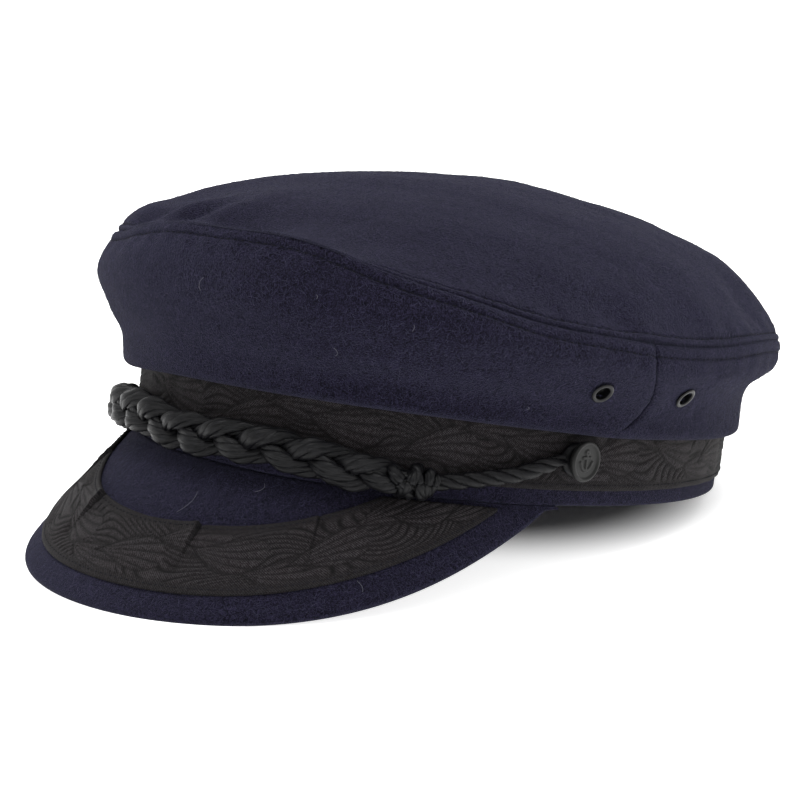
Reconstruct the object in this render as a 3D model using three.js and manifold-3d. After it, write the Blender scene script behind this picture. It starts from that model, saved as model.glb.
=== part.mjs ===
// Breton fisherman cap in wool: a soft crown of a domed top and two side panels, a head band with a
// woven ribbon, a stiff peak with its own ribbon, and a plaited cord held by a button on each side.
// Millimetres, +Z up. The cap is laid out with the lower edge of its band in the plane z = 0, the
// front towards -Y and the wearer's left towards +X. It is then tilted back to the way it rests on a
// table, on the rear of the band and the rim of the peak, with the origin under its middle.

import * as THREE from 'three';
import { mergeVertices } from 'three/addons/utils/BufferGeometryUtils.js';
import Module from 'manifold-3d';

const wasm = await Module();
wasm.setup();

// Gap left between two pieces that are sewn or laid against each other
const SEAM_GAP = 0.3;

// Head band of wool, an oval ring
const BAND_HALF_WIDTH = 86;
const BAND_HALF_LENGTH = 103;
const BAND_HEIGHT = 30;
const BAND_WALL = 2.7;

// Ribbon round the band, and the wool left bare below it and above it
const RIBBON_THICKNESS = 1;
const WOOL_BELOW_RIBBON = 5;
const WOOL_ABOVE_RIBBON = 1;

// Crown sides: how far they swell past the band, how far the top seam stands above the band at the
// front, and the folded hem that hangs over the ribbon
const CROWN_WALL = 2.2;
const CROWN_OVERHANG = 20;
const CROWN_RISE = 42.5;
const HEM_FOLD = 6;
const HEM_DROP = 11;

// Domed top: the height of its edge as a share of CROWN_RISE, its extra height in the middle, and how
// sharply its edge turns down to the seam, as a power
const DOME_EDGE = 0.87;
const DOME_BULGE = 24.5;
const DOME_ROUNDING = 9.9;
const FOLD_RISE = 2.6;

// Peak: its length from the band to the rim, the turn where it ends on each side, its slope at the
// front and at the ends, and its curl on the way down, in degrees
const PEAK_LENGTH = 59.5;
const PEAK_END_TURN = 74.5;
const PEAK_THICKNESS = 3.2;
const PEAK_FRONT_SLOPE = 46.5;
const PEAK_SIDE_SLOPE = 59;
const PEAK_CURL = 4.8;
const PEAK_TAPER = 1.22;
const PEAK_NUB = 2.2;
const FLATTENED_EDGE = 0.4;

// Ribbon on the peak
const PEAK_RIBBON_WIDTH = 25.5;
const PEAK_RIBBON_INSET = 11;
const PLEAT_LIFT = 1.4;
const PLEAT_HALF_TURN = 1.5;

// Plaited cord, with the height of its middle as a share of the band's height
const STRAND_RADIUS = 2.4;
const PLAIT_HALF_HEIGHT = 6.6;
const PLAIT_HALF_DEPTH = 4.5;
const PLAIT_RISE = 0.293;
const PLAITS = 3;
const PLAIT_END_TURN = 43;
const PLAIT_END_SLIMNESS = 0.35;
const PLAIT_END_SHARE = 0.125;
const KNOT_LENGTH = 9;
const KNOT_RADIUS = 5;
const KNOT_END_RADIUS = 3;
const KNOT_WRAPS = 3;
const KNOT_GROOVE = 0.9;

// Twisted rope from the knot to the button
const ROPE_RADIUS = 2.6;
const ROPE_GROOVE = 0.45;
const ROPE_PITCH = 18;
const ROPE_STRANDS = 3;
const ROPE_SLIMS_FROM = 0.8;
const EYE_LOOP_WIRE = 1.7;
const EYE_LOOP_CLEARANCE = 0.4;

// Buttons
const BUTTON_RADIUS = 7;
const BUTTON_THICKNESS = 2.4;
const BUTTON_RIM = 0.8;
const BUTTON_SHANK_RADIUS = 1.5;
const BUTTON_TURN = 75.6;
const BUTTON_BELOW_HEM = 0.3;
const ANCHOR_HEIGHT = 6.4;
const ANCHOR_RELIEF = 0.5;

// Eyelets, two at each side seam: the turn midway between them, and of each away from it
const EYELET_RADIUS = 3.65;
const EYELET_BARREL_RADIUS = 2.5;
const EYELET_BORE_RADIUS = 1.9;
const EYELET_FLANGE = 0.6;
const EYELET_LIFT = 0.35;
const EYELET_MIDDLE_TURN = 85;
const EYELET_SPREAD_TURN = 9.5;
const EYELET_DROP = 0.545;

// Turn of the side seams
const SIDE_SEAM_TURN = 86;

// Fineness of the faceted surfaces
const ROUND_STEPS = 48;
const PEAK_STEPS = 26;
const PEAK_OVER_STEPS = 5;
const PEAK_UNDER_STEPS = 4;
const SIDE_STEPS = 10;
const INSIDE_STEPS = 5;
const HEM_STEPS = 3;
const DOME_REACHES = [0.2, 0.4, 0.57, 0.71, 0.82, 0.9, 0.96];
const PLAIT_POINTS = 30;
const STRAND_SIDES = 5;
const ROPE_STEPS = 20;
const ROPE_SIDES = 9;
const KNOT_SIDES = 8;
const EYE_LOOP_SIDES = 6;
const EYE_LOOP_STEPS = 12;
const BUTTON_SIDES = 18;
const ANCHOR_SIDES = 8;
const EYELET_SIDES = 12;
const LEAST_TURN = 1;

// Small share of a surface's way, for reading its direction, and halvings for finding a place on it
const PROBE = 0.02;
const HALVINGS = 30;
// Share of its way where the crown's inner face begins, and the same for the peak's lower face
const CROWN_INSIDE_START = 0.1;
const PEAK_UNDER_START = 0.15;
// How sharply the folds of the top die away at the seam, as a power
const FOLD_FADING = 30;

// Crown outline by turn round the head, in degrees from the front towards the wearer's left. "Out"
// columns are shares of CROWN_OVERHANG and "Rise" columns shares of CROWN_RISE above the band.
const CROWN_ROWS = namedRows(
  ['turn', 'seamOut', 'seamRise', 'puffOut', 'puffRise', 'midOut', 'midRise',
    'waistOut', 'waistRise', 'hemFold', 'hemDrop'],
  [
    [-180, 0.74, 0.46, 0.68, 0.28, 0.38, 0.15, 0.26, 0.02, 0.63, 0.95],
    [-135, 0.75, 0.45, 0.70, 0.28, 0.40, 0.14, 0.28, 0.02, 0.65, 0.95],
    [-90, 0.80, 0.45, 0.85, 0.28, 0.60, 0.14, 0.40, 0.00, 0.87, 0.60],
    [-45, 0.73, 0.64, 0.93, 0.40, 0.70, 0.16, 0.46, 0.00, 1.00, 1.00],
    [0, 0.75, 1.00, 1.00, 0.64, 0.75, 0.31, 0.48, 0.09, 1.00, 0.53],
    [45, 0.83, 0.82, 1.00, 0.56, 0.75, 0.28, 0.46, 0.09, 1.00, 0.45],
    [90, 0.80, 0.54, 0.85, 0.36, 0.60, 0.18, 0.40, 0.02, 0.87, 0.72],
    [135, 0.74, 0.48, 0.68, 0.31, 0.38, 0.18, 0.26, 0.05, 0.63, 0.95],
  ],
);

// Folds of the domed top: place by turn and by share of the way out to the seam, half sizes in
// degrees and in shares, and height as a share of FOLD_RISE
const FOLD_ROWS = namedRows(
  ['turn', 'reach', 'halfTurn', 'halfReach', 'rise'],
  [
    [-34, 0.95, 16, 0.09, 1.9],
    [-46, 0.74, 14, 0.14, 0.5],
    [-20, 0.94, 5, 0.06, -1.1],
    [-14, 0.87, 4, 0.11, 1.3],
    [-8, 0.89, 4, 0.07, -1.1],
    [-2, 0.86, 4.5, 0.10, 1.3],
    [-4, 0.68, 8, 0.12, 0.6],
    [9, 0.90, 6, 0.07, -0.8],
    [76, 0.955, 4.5, 0.05, -1.1],
    [98, 0.92, 5, 0.07, 0.4],
    [117, 0.93, 5, 0.06, -0.8],
    [126, 0.88, 5, 0.09, 0.7],
    [-75, 0.88, 12, 0.10, -0.7],
    [150, 0.84, 14, 0.10, 0.6],
  ],
);

// Waves of the top seam, by turn: half size in degrees, and height as a share of CROWN_RISE
const SEAM_WAVES = namedRows(
  ['turn', 'halfTurn', 'rise'],
  [
    [-42, 12, 0.06],
    [-20, 14, -0.037],
    [24, 12, 0.078],
    [63, 13, -0.056],
    [116, 18, 0.075],
  ],
);

// Route of the plait: share of the way from the middle of the front to its end, and height of its
// middle as a share of its height at the front
const PLAIT_ROUTE = [[0, 0.93], [0.28, 1], [0.51, 1], [0.74, 0.86], [0.9, 0.67], [1, 0.57], [1.2, 0.54]];

// Route of the rope: share of the way from the knot to the button, and share of the rise between them
const ROPE_ROUTE = [[0, 0], [0.17, 0.1], [0.35, 0.24], [0.51, 0.36], [0.67, 0.51], [0.79, 0.72], [1, 1]];

// Shapes of the anchor on the button, as shares of its height: widths and places of its parts
const ANCHOR_BAR = 0.125;
const ANCHOR_STEM = 0.78;
const ANCHOR_STOCK = 0.5;
const ANCHOR_STOCK_RISE = 0.18;
const ANCHOR_RING_RISE = 0.4;
const ANCHOR_ARM_RADIUS = 0.38;
const ANCHOR_ARM_DROP = 0.05;
const ANCHOR_ARM_ANGLE = 14;

// Pleats of the peak's ribbon, by turn
const PLEAT_TURNS = [-50, -32, -13, 12, 31];

const WOOL = material(0x23233a, 1.0, 0.0);
const RIBBON = material(0x2b2625, 0.85, 0.0);
const CORD = material(0x20211f, 0.6, 0.0);
const BUTTON = material(0x3a3b3b, 0.45, 0.0);
const ENAMEL = material(0x17171a, 0.35, 0.6);

function material(color, roughness, metalness) {
  return new THREE.MeshStandardMaterial({ color, roughness, metalness });
}

function namedRows(columns, rows) {
  return rows.map((row) => Object.fromEntries(columns.map((name, i) => [name, row[i]])));
}

function catmullRom(p0, p1, p2, p3, t) {
  const linear = (p2 - p0) * t;
  const square = (2 * p0 - 5 * p1 + 4 * p2 - p3) * t * t;
  const cube = (3 * p1 - p0 - 3 * p2 + p3) * t * t * t;
  return p1 + 0.5 * (linear + square + cube);
}

function steps(from, to, count) {
  return Array.from({ length: count + 1 }, (_, i) => from + (to - from) * i / count);
}

// A point of the oval, moved out along its normal
function ovalPoint(turn, out, z) {
  const angle = THREE.MathUtils.degToRad(turn);
  const sin = Math.sin(angle);
  const cos = Math.cos(angle);
  const normal = new THREE.Vector2(sin / BAND_HALF_WIDTH, -cos / BAND_HALF_LENGTH).normalize();
  return new THREE.Vector3(
    BAND_HALF_WIDTH * sin + out * normal.x,
    -BAND_HALF_LENGTH * cos + out * normal.y,
    z,
  );
}

// Axes at a place of the band: X along it, Y up and Z outwards
function bandPlace(turn, out, z) {
  const origin = ovalPoint(turn, out, z);
  const outward = ovalPoint(turn, out + 1, z).sub(origin);
  const up = new THREE.Vector3(0, 0, 1);
  const along = new THREE.Vector3().crossVectors(up, outward);
  return new THREE.Matrix4().makeBasis(along, up, outward).setPosition(origin);
}

function meshGeometry(points, triangles) {
  const geometry = new THREE.BufferGeometry();
  geometry.setAttribute('position', new THREE.Float32BufferAttribute(points.flatMap((p) => [...p]), 3));
  geometry.setIndex(triangles.flat());
  return geometry;
}

// Sweeps an outline of (out, z) points, anticlockwise, round the oval. A full turn closes on itself,
// and a shorter one gets a flat end at each side.
function sweepRound(turns, outlineAt) {
  const closed = turns[turns.length - 1] - turns[0] >= 360;
  const stations = closed ? turns.slice(0, -1) : turns;
  const outlines = stations.map(outlineAt);
  const size = outlines[0].length;
  const points = stations.flatMap((turn, i) => outlines[i].map((p) => ovalPoint(turn, p.x, p.y)));
  const triangles = [];
  const spans = closed ? stations.length : stations.length - 1;
  for (let i = 0; i < spans; i += 1) {
    const here = i * size;
    const next = ((i + 1) % stations.length) * size;
    for (let j = 0; j < size; j += 1) {
      const k = (j + 1) % size;
      triangles.push([here + j, next + j, next + k], [here + j, next + k, here + k]);
    }
  }
  if (!closed) {
    const last = (stations.length - 1) * size;
    const startFaces = THREE.ShapeUtils.triangulateShape(outlines[0], []);
    const endFaces = THREE.ShapeUtils.triangulateShape(outlines[stations.length - 1], []);
    triangles.push(...startFaces);
    triangles.push(...endFaces.map(([a, b, c]) => [last + a, last + c, last + b]));
  }
  return meshGeometry(points, triangles);
}

// Joins rings of equal size, anticlockwise seen from the first end, and closes each end in a point
function ringStack(firstPoint, rings, lastPoint) {
  const size = rings[0].length;
  const points = [firstPoint, ...rings.flat(), lastPoint];
  const triangles = [];
  const lastRing = 1 + (rings.length - 1) * size;
  for (let j = 0; j < size; j += 1) {
    const k = (j + 1) % size;
    triangles.push([0, 1 + j, 1 + k], [points.length - 1, lastRing + k, lastRing + j]);
    for (let i = 1; i < rings.length; i += 1) {
      const above = 1 + (i - 1) * size;
      const below = 1 + i * size;
      triangles.push([above + j, below + j, below + k], [above + j, below + k, above + k]);
    }
  }
  return meshGeometry(points, triangles);
}

function toSolid(geometry) {
  const bare = geometry.clone();
  bare.deleteAttribute('normal');
  bare.deleteAttribute('uv');
  const merged = mergeVertices(bare, 1e-4);
  return new wasm.Manifold(new wasm.Mesh({
    numProp: 3,
    vertProperties: new Float32Array(merged.attributes.position.array),
    triVerts: new Uint32Array(merged.index.array),
  }));
}

function toGeometry(solid) {
  const mesh = solid.getMesh();
  const geometry = new THREE.BufferGeometry();
  geometry.setAttribute('position', new THREE.Float32BufferAttribute(mesh.vertProperties, 3));
  geometry.setIndex([...mesh.triVerts]);
  return geometry;
}

function joined(geometries) {
  const whole = geometries.map(toSolid).reduce((sum, solid) => sum.add(solid));
  return toGeometry(whole);
}

function cut(geometry, tool) {
  return toGeometry(toSolid(geometry).subtract(toSolid(tool)));
}

// Crown

function crownRow(turn) {
  const count = CROWN_ROWS.length;
  const place = ((((turn - CROWN_ROWS[0].turn) % 360) + 360) % 360) * count / 360;
  const first = Math.floor(place);
  const rows = [-1, 0, 1, 2].map((shift) => CROWN_ROWS[(first + shift + count) % count]);
  const names = Object.keys(CROWN_ROWS[0]).filter((name) => name !== 'turn');
  const blend = (name) => catmullRom(...rows.map((row) => row[name]), place - first);
  return Object.fromEntries(names.map((name) => [name, blend(name)]));
}

// Face of the crown's hem and of the cord that lies against the ribbon
const HEM_INNER = SEAM_GAP + RIBBON_THICKNESS + SEAM_GAP;
// The crown's seam allowance is turned in over the band's top
const LIP_BOTTOM = BAND_HEIGHT + SEAM_GAP;
const LIP_TOP = LIP_BOTTOM + CROWN_WALL;
// Depth of the mitre between the top and the sides
const MITRE = 0.8 * CROWN_WALL;

const roundTurns = steps(-180, 180, ROUND_STEPS).slice(0, -1);
const peakTurns = steps(-PEAK_END_TURN, PEAK_END_TURN, PEAK_STEPS);

function smoothBump(distance) {
  return Math.exp(-distance * distance);
}

// How near a turn is to a wave's or fold's own turn, from 1 on it down to 0
function nearness(turn, centre, halfTurn) {
  const away = THREE.MathUtils.euclideanModulo(turn - centre + 180, 360) - 180;
  return smoothBump(away / halfTurn);
}

function seamWave(turn) {
  return SEAM_WAVES.reduce((sum, wave) => sum + wave.rise * nearness(turn, wave.turn, wave.halfTurn), 0);
}

// Key points of the crown's outer face from the top seam down to the widest place of its hem
function crownKeys(turn) {
  const row = crownRow(turn);
  const key = (out, rise) => new THREE.Vector2(out * CROWN_OVERHANG, BAND_HEIGHT + rise * CROWN_RISE);
  const hemRadius = HEM_FOLD * row.hemFold / 2;
  const hemBottom = BAND_HEIGHT - HEM_DROP * row.hemDrop;
  return {
    seam: key(row.seamOut, row.seamRise + seamWave(turn)),
    puff: key(row.puffOut, row.puffRise),
    mid: key(row.midOut, row.midRise),
    waist: key(row.waistOut, row.waistRise),
    hem: new THREE.Vector2(HEM_INNER + 2 * hemRadius, hemBottom + hemRadius),
    hemRadius,
  };
}

// Outer face of the crown's side: drop runs from 0 at the top seam to 1 at the hem's widest place
function crownSide(turn, drop) {
  const keys = crownKeys(turn);
  const path = [keys.seam, keys.puff, keys.mid, keys.waist, keys.hem];
  const before = keys.seam.clone().multiplyScalar(2).sub(keys.puff);
  const after = keys.hem.clone().sub(new THREE.Vector2(0, HEM_FOLD));
  const all = [before, ...path, after];
  const place = THREE.MathUtils.clamp(drop, 0, 1) * (path.length - 1);
  const first = Math.min(Math.floor(place), path.length - 2);
  const near = all.slice(first, first + 4);
  return new THREE.Vector2(
    catmullRom(...near.map((p) => p.x), place - first),
    catmullRom(...near.map((p) => p.y), place - first),
  );
}

// Inner face of the crown's side, one wall in from the outer face
function crownInside(turn, drop) {
  const along = crownSide(turn, drop + PROBE).sub(crownSide(turn, drop - PROBE)).normalize();
  return crownSide(turn, drop).add(new THREE.Vector2(along.y, -along.x).multiplyScalar(CROWN_WALL));
}

// Drop at which the inner face has come down to a height, by halving
function dropAtHeight(turn, height) {
  let high = 0;
  let low = 1;
  for (let i = 0; i < HALVINGS; i += 1) {
    const middle = (high + low) / 2;
    if (crownInside(turn, middle).y > height) {
      high = middle;
    } else {
      low = middle;
    }
  }
  return high;
}

function crownOutline(turn) {
  const keys = crownKeys(turn);
  const hemArc = steps(-180, 0, HEM_STEPS).map((degrees) => {
    const angle = THREE.MathUtils.degToRad(degrees);
    return new THREE.Vector2(
      keys.hem.x - keys.hemRadius + keys.hemRadius * Math.cos(angle),
      keys.hem.y + keys.hemRadius * Math.sin(angle),
    );
  });
  const outer = steps(1, 0, SIDE_STEPS).slice(1).map((drop) => crownSide(turn, drop));
  const inner = steps(CROWN_INSIDE_START, dropAtHeight(turn, LIP_TOP), INSIDE_STEPS)
    .map((drop) => crownInside(turn, drop));
  return [
    ...hemArc,
    ...outer,
    new THREE.Vector2(keys.seam.x - MITRE, keys.seam.y - MITRE),
    ...inner,
    new THREE.Vector2(-BAND_WALL, LIP_TOP),
    new THREE.Vector2(-BAND_WALL, LIP_BOTTOM),
    new THREE.Vector2(HEM_INNER, LIP_BOTTOM),
  ];
}

// Axes at a place of the crown's side: X along it, Y up its face and Z outwards
function crownPlace(turn, drop) {
  const at = (t, d) => {
    const outline = crownSide(t, d);
    return ovalPoint(t, outline.x, outline.y);
  };
  const along = at(turn + PROBE, drop).sub(at(turn - PROBE, drop)).normalize();
  const up = at(turn, drop - PROBE).sub(at(turn, drop + PROBE)).normalize();
  const outward = new THREE.Vector3().crossVectors(along, up).normalize();
  up.crossVectors(outward, along);
  return new THREE.Matrix4().makeBasis(along, up, outward).setPosition(at(turn, drop));
}

// A round hole through the crown's side for each eyelet
function eyeletHole(turn) {
  const length = 4 * CROWN_WALL;
  const hole = new THREE.CylinderGeometry(
    EYELET_BARREL_RADIUS + SEAM_GAP,
    EYELET_BARREL_RADIUS + SEAM_GAP,
    length,
    EYELET_SIDES,
  );
  hole.rotateX(Math.PI / 2);
  return hole.applyMatrix4(crownPlace(turn, EYELET_DROP));
}

function crownPanel(seamFrom, seamTo, eyeletTurns) {
  const halfGap = THREE.MathUtils.radToDeg(SEAM_GAP / 2 / BAND_HALF_WIDTH);
  const twoRounds = [...roundTurns, ...roundTurns.map((turn) => turn + 360)];
  const turns = twoRounds.filter((turn) => turn > seamFrom + LEAST_TURN && turn < seamTo - LEAST_TURN);
  const whole = sweepRound([seamFrom + halfGap, ...turns, seamTo - halfGap], crownOutline);
  return eyeletTurns.reduce((panel, turn) => cut(panel, eyeletHole(turn)), whole);
}

// Domed top

function foldRise(turn, reach) {
  const edge = 1 - reach ** FOLD_FADING;
  return FOLD_ROWS.reduce((sum, fold) => {
    const across = nearness(turn, fold.turn, fold.halfTurn);
    const along = smoothBump((reach - fold.reach) / fold.halfReach);
    return sum + FOLD_RISE * fold.rise * across * along * edge;
  }, 0);
}

const MITRE_SHIFT = SEAM_GAP / Math.SQRT2;

// Outer face of the dome: reach runs from 0 in the middle to 1 at the seam
function domePoint(turn, reach) {
  const seam = crownKeys(turn).seam;
  const rim = ovalPoint(turn, seam.x - MITRE_SHIFT, seam.y + MITRE_SHIFT);
  const dome = BAND_HEIGHT + DOME_EDGE * CROWN_RISE + DOME_BULGE * (1 - reach * reach);
  const height = THREE.MathUtils.lerp(dome, rim.z, reach ** DOME_ROUNDING);
  return new THREE.Vector3(rim.x * reach, rim.y * reach, height + foldRise(turn, reach));
}

function domeInside(turn, reach) {
  const along = domePoint(turn + LEAST_TURN, reach).sub(domePoint(turn - LEAST_TURN, reach));
  const outward = domePoint(turn, reach + PROBE / 2).sub(domePoint(turn, reach - PROBE / 2));
  const normal = outward.cross(along).normalize();
  return domePoint(turn, reach).addScaledVector(normal, -CROWN_WALL);
}

function crownTop() {
  const outerRings = [...DOME_REACHES, 1].map((reach) => roundTurns.map((turn) => domePoint(turn, reach)));
  const rimInner = roundTurns.map((turn) => {
    const seam = crownKeys(turn).seam;
    const inset = MITRE + MITRE_SHIFT;
    return ovalPoint(turn, seam.x - inset, seam.y - MITRE + MITRE_SHIFT);
  });
  const innerRings = [...DOME_REACHES].reverse()
    .map((reach) => roundTurns.map((turn) => domeInside(turn, reach)));
  const middle = domePoint(0, 0);
  const middleInside = middle.clone().sub(new THREE.Vector3(0, 0, CROWN_WALL));
  return ringStack(middle, [...outerRings, rimInner, ...innerRings], middleInside);
}

// Band and its ribbon

function ringOutline(inner, outer, bottom, top) {
  return [
    new THREE.Vector2(inner, bottom),
    new THREE.Vector2(outer, bottom),
    new THREE.Vector2(outer, top),
    new THREE.Vector2(inner, top),
  ];
}

function headband() {
  return sweepRound([...roundTurns, 180], () => ringOutline(-BAND_WALL, 0, 0, BAND_HEIGHT));
}

function bandRibbon() {
  const top = BAND_HEIGHT - WOOL_ABOVE_RIBBON;
  const outer = SEAM_GAP + RIBBON_THICKNESS;
  return sweepRound([...roundTurns, 180], () => ringOutline(SEAM_GAP, outer, WOOL_BELOW_RIBBON, top));
}

// Peak

function peakLength(turn) {
  const share = Math.min(Math.abs(turn) / PEAK_END_TURN, 1);
  return Math.max(PEAK_LENGTH * (1 - share * share) ** PEAK_TAPER, PEAK_NUB);
}

// A place in the peak: distance from the band along its upper face, and depth below that face
function peakPlace(turn, distance, depth) {
  const share = Math.min(Math.abs(turn) / PEAK_END_TURN, 1);
  const sideways = Math.sin(share * Math.PI / 2) ** 2;
  const slope = THREE.MathUtils.lerp(PEAK_FRONT_SLOPE, PEAK_SIDE_SLOPE, sideways);
  const startSlope = THREE.MathUtils.degToRad(slope - PEAK_CURL / 2);
  const curl = THREE.MathUtils.degToRad(PEAK_CURL) / peakLength(turn);
  const here = startSlope + curl * distance;
  const out = (Math.sin(here) - Math.sin(startSlope)) / curl;
  const drop = (Math.cos(startSlope) - Math.cos(here)) / curl;
  return new THREE.Vector2(out - depth * Math.sin(here), -SEAM_GAP - drop - depth * Math.cos(here));
}

function peakOutline(turn) {
  const half = PEAK_THICKNESS / 2;
  const edge = peakLength(turn) - half;
  const below = steps(PEAK_UNDER_START, 1, PEAK_UNDER_STEPS)
    .map((share) => peakPlace(turn, edge * share, PEAK_THICKNESS));
  const rim = [-45, 0, 45].map((degrees) => {
    const angle = THREE.MathUtils.degToRad(degrees);
    return peakPlace(turn, edge + half * Math.cos(angle), half - half * Math.sin(angle));
  });
  const above = steps(1, 0, PEAK_OVER_STEPS).map((share) => peakPlace(turn, edge * share, 0));
  return [
    new THREE.Vector2(-BAND_WALL, -SEAM_GAP),
    new THREE.Vector2(-BAND_WALL, -SEAM_GAP - PEAK_THICKNESS),
    ...below,
    ...rim,
    ...above,
  ];
}

// Ribbon on the peak, with pleats that are thickest at its inner edge
function peakRibbonEdges(turn) {
  const outer = peakLength(turn) - PEAK_RIBBON_INSET;
  const inner = Math.max(outer - PEAK_RIBBON_WIDTH, 2 * SEAM_GAP + RIBBON_THICKNESS);
  return { inner, outer };
}

function pleatShape(turn) {
  const nearest = Math.min(...PLEAT_TURNS.map((pleat) => Math.abs(turn - pleat)));
  return Math.max(1 - nearest / PLEAT_HALF_TURN, 0);
}

function peakRibbonOutline(turn) {
  const { inner, outer } = peakRibbonEdges(turn);
  const lift = PLEAT_LIFT * pleatShape(turn);
  const shares = [0, 0.5, 1];
  const at = (share, depth) => peakPlace(turn, THREE.MathUtils.lerp(inner, outer, share), depth);
  const under = shares.map((share) => at(share, -SEAM_GAP));
  const over = shares.map((share) => at(share, -SEAM_GAP - RIBBON_THICKNESS - lift * (1 - share / 2)));
  return [...under, ...over.reverse()];
}

function peakRibbon() {
  const room = (turn) => peakRibbonEdges(turn).outer - peakRibbonEdges(turn).inner;
  const open = peakTurns.filter((turn) => room(turn) > RIBBON_THICKNESS);
  const pleats = PLEAT_TURNS.flatMap((turn) => [turn - PLEAT_HALF_TURN, turn, turn + PLEAT_HALF_TURN])
    .filter((turn) => room(turn) > RIBBON_THICKNESS);
  const turns = [...new Set([...open, ...pleats])].sort((a, b) => a - b);
  return sweepRound(turns, peakRibbonOutline);
}

// Cord

// Second value of a route at a share of its way, straight between its points
function alongRoute(route, share) {
  const found = route.findIndex(([place]) => place > share);
  const next = found > 0 ? found : route.length - 1;
  const [from, low] = route[next - 1];
  const [to, high] = route[next];
  return THREE.MathUtils.mapLinear(share, from, to, low, high);
}

function plaitHeight(turn) {
  return BAND_HEIGHT * PLAIT_RISE * alongRoute(PLAIT_ROUTE, Math.abs(turn) / PLAIT_END_TURN);
}

// Height of the buttons, which sit just below the lower of the two hems
function buttonHeight() {
  const hems = [BUTTON_TURN, -BUTTON_TURN].map((turn) => crownKeys(turn).hem.y - crownKeys(turn).hemRadius);
  return Math.min(...hems) - BUTTON_BELOW_HEM - BUTTON_RADIUS;
}

function roundBar(points, radius, sides, stepCount) {
  const section = new THREE.Shape();
  section.setFromPoints(steps(0, 2 * Math.PI, sides).slice(0, -1)
    .map((angle) => new THREE.Vector2(radius * Math.cos(angle), radius * Math.sin(angle))));
  return new THREE.ExtrudeGeometry(section, {
    steps: stepCount,
    extrudePath: new THREE.CatmullRomCurve3(points),
    bevelEnabled: false,
  });
}

function plaitStrand(startPhase) {
  const sway = PLAIT_HALF_HEIGHT - STRAND_RADIUS;
  const weave = PLAIT_HALF_DEPTH - STRAND_RADIUS;
  const points = steps(0, 1, PLAIT_POINTS).map((share) => {
    const turn = THREE.MathUtils.lerp(-PLAIT_END_TURN, PLAIT_END_TURN, share);
    const phase = startPhase + 2 * Math.PI * PLAITS * share;
    const fromEnd = Math.min(1, share / PLAIT_END_SHARE, (1 - share) / PLAIT_END_SHARE);
    const fullness = THREE.MathUtils.lerp(PLAIT_END_SLIMNESS, 1, fromEnd);
    const out = HEM_INNER + PLAIT_HALF_DEPTH + fullness * weave * Math.sin(2 * phase);
    return ovalPoint(turn, out, plaitHeight(turn) + fullness * sway * Math.sin(phase));
  });
  return roundBar(points, STRAND_RADIUS, STRAND_SIDES, PLAIT_POINTS);
}

function braid() {
  const third = 2 * Math.PI / 3;
  return joined([0, 1, 2].map((strand) => plaitStrand(strand * third)));
}

// Turns covered by a length along the cord, near a turn
function turnsOf(length, turn) {
  const perDegree = ovalPoint(turn + 0.5, KNOT_RADIUS, 0).distanceTo(ovalPoint(turn - 0.5, KNOT_RADIUS, 0));
  return length / perDegree;
}

const KNOT_START_TURN = PLAIT_END_TURN + turnsOf(SEAM_GAP + STRAND_RADIUS / 4, PLAIT_END_TURN);
const ROPE_START_TURN = KNOT_START_TURN + turnsOf(KNOT_LENGTH + SEAM_GAP, PLAIT_END_TURN);

// A knot of wraps round the cord, turned about the cord's line
function knot(side) {
  const wrap = KNOT_LENGTH / KNOT_WRAPS;
  const wraps = steps(0, KNOT_LENGTH, KNOT_WRAPS).slice(0, -1).flatMap((start) => [
    new THREE.Vector2(KNOT_RADIUS - KNOT_GROOVE, start + wrap / 8),
    new THREE.Vector2(KNOT_RADIUS, start + wrap / 2),
    new THREE.Vector2(KNOT_RADIUS - KNOT_GROOVE, start + wrap - wrap / 8),
  ]);
  const profile = [
    new THREE.Vector2(0, 0),
    new THREE.Vector2(KNOT_END_RADIUS, 0),
    ...wraps,
    new THREE.Vector2(KNOT_END_RADIUS, KNOT_LENGTH),
    new THREE.Vector2(0, KNOT_LENGTH),
  ];
  const geometry = new THREE.LatheGeometry(profile, KNOT_SIDES);
  const at = (turn) => ovalPoint(side * turn, HEM_INNER + KNOT_RADIUS, plaitHeight(turn));
  const start = at(KNOT_START_TURN);
  const along = at(KNOT_START_TURN + 1).sub(start).normalize();
  const turned = new THREE.Quaternion().setFromUnitVectors(new THREE.Vector3(0, 1, 0), along);
  return geometry.applyQuaternion(turned).translate(start.x, start.y, start.z);
}

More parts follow.
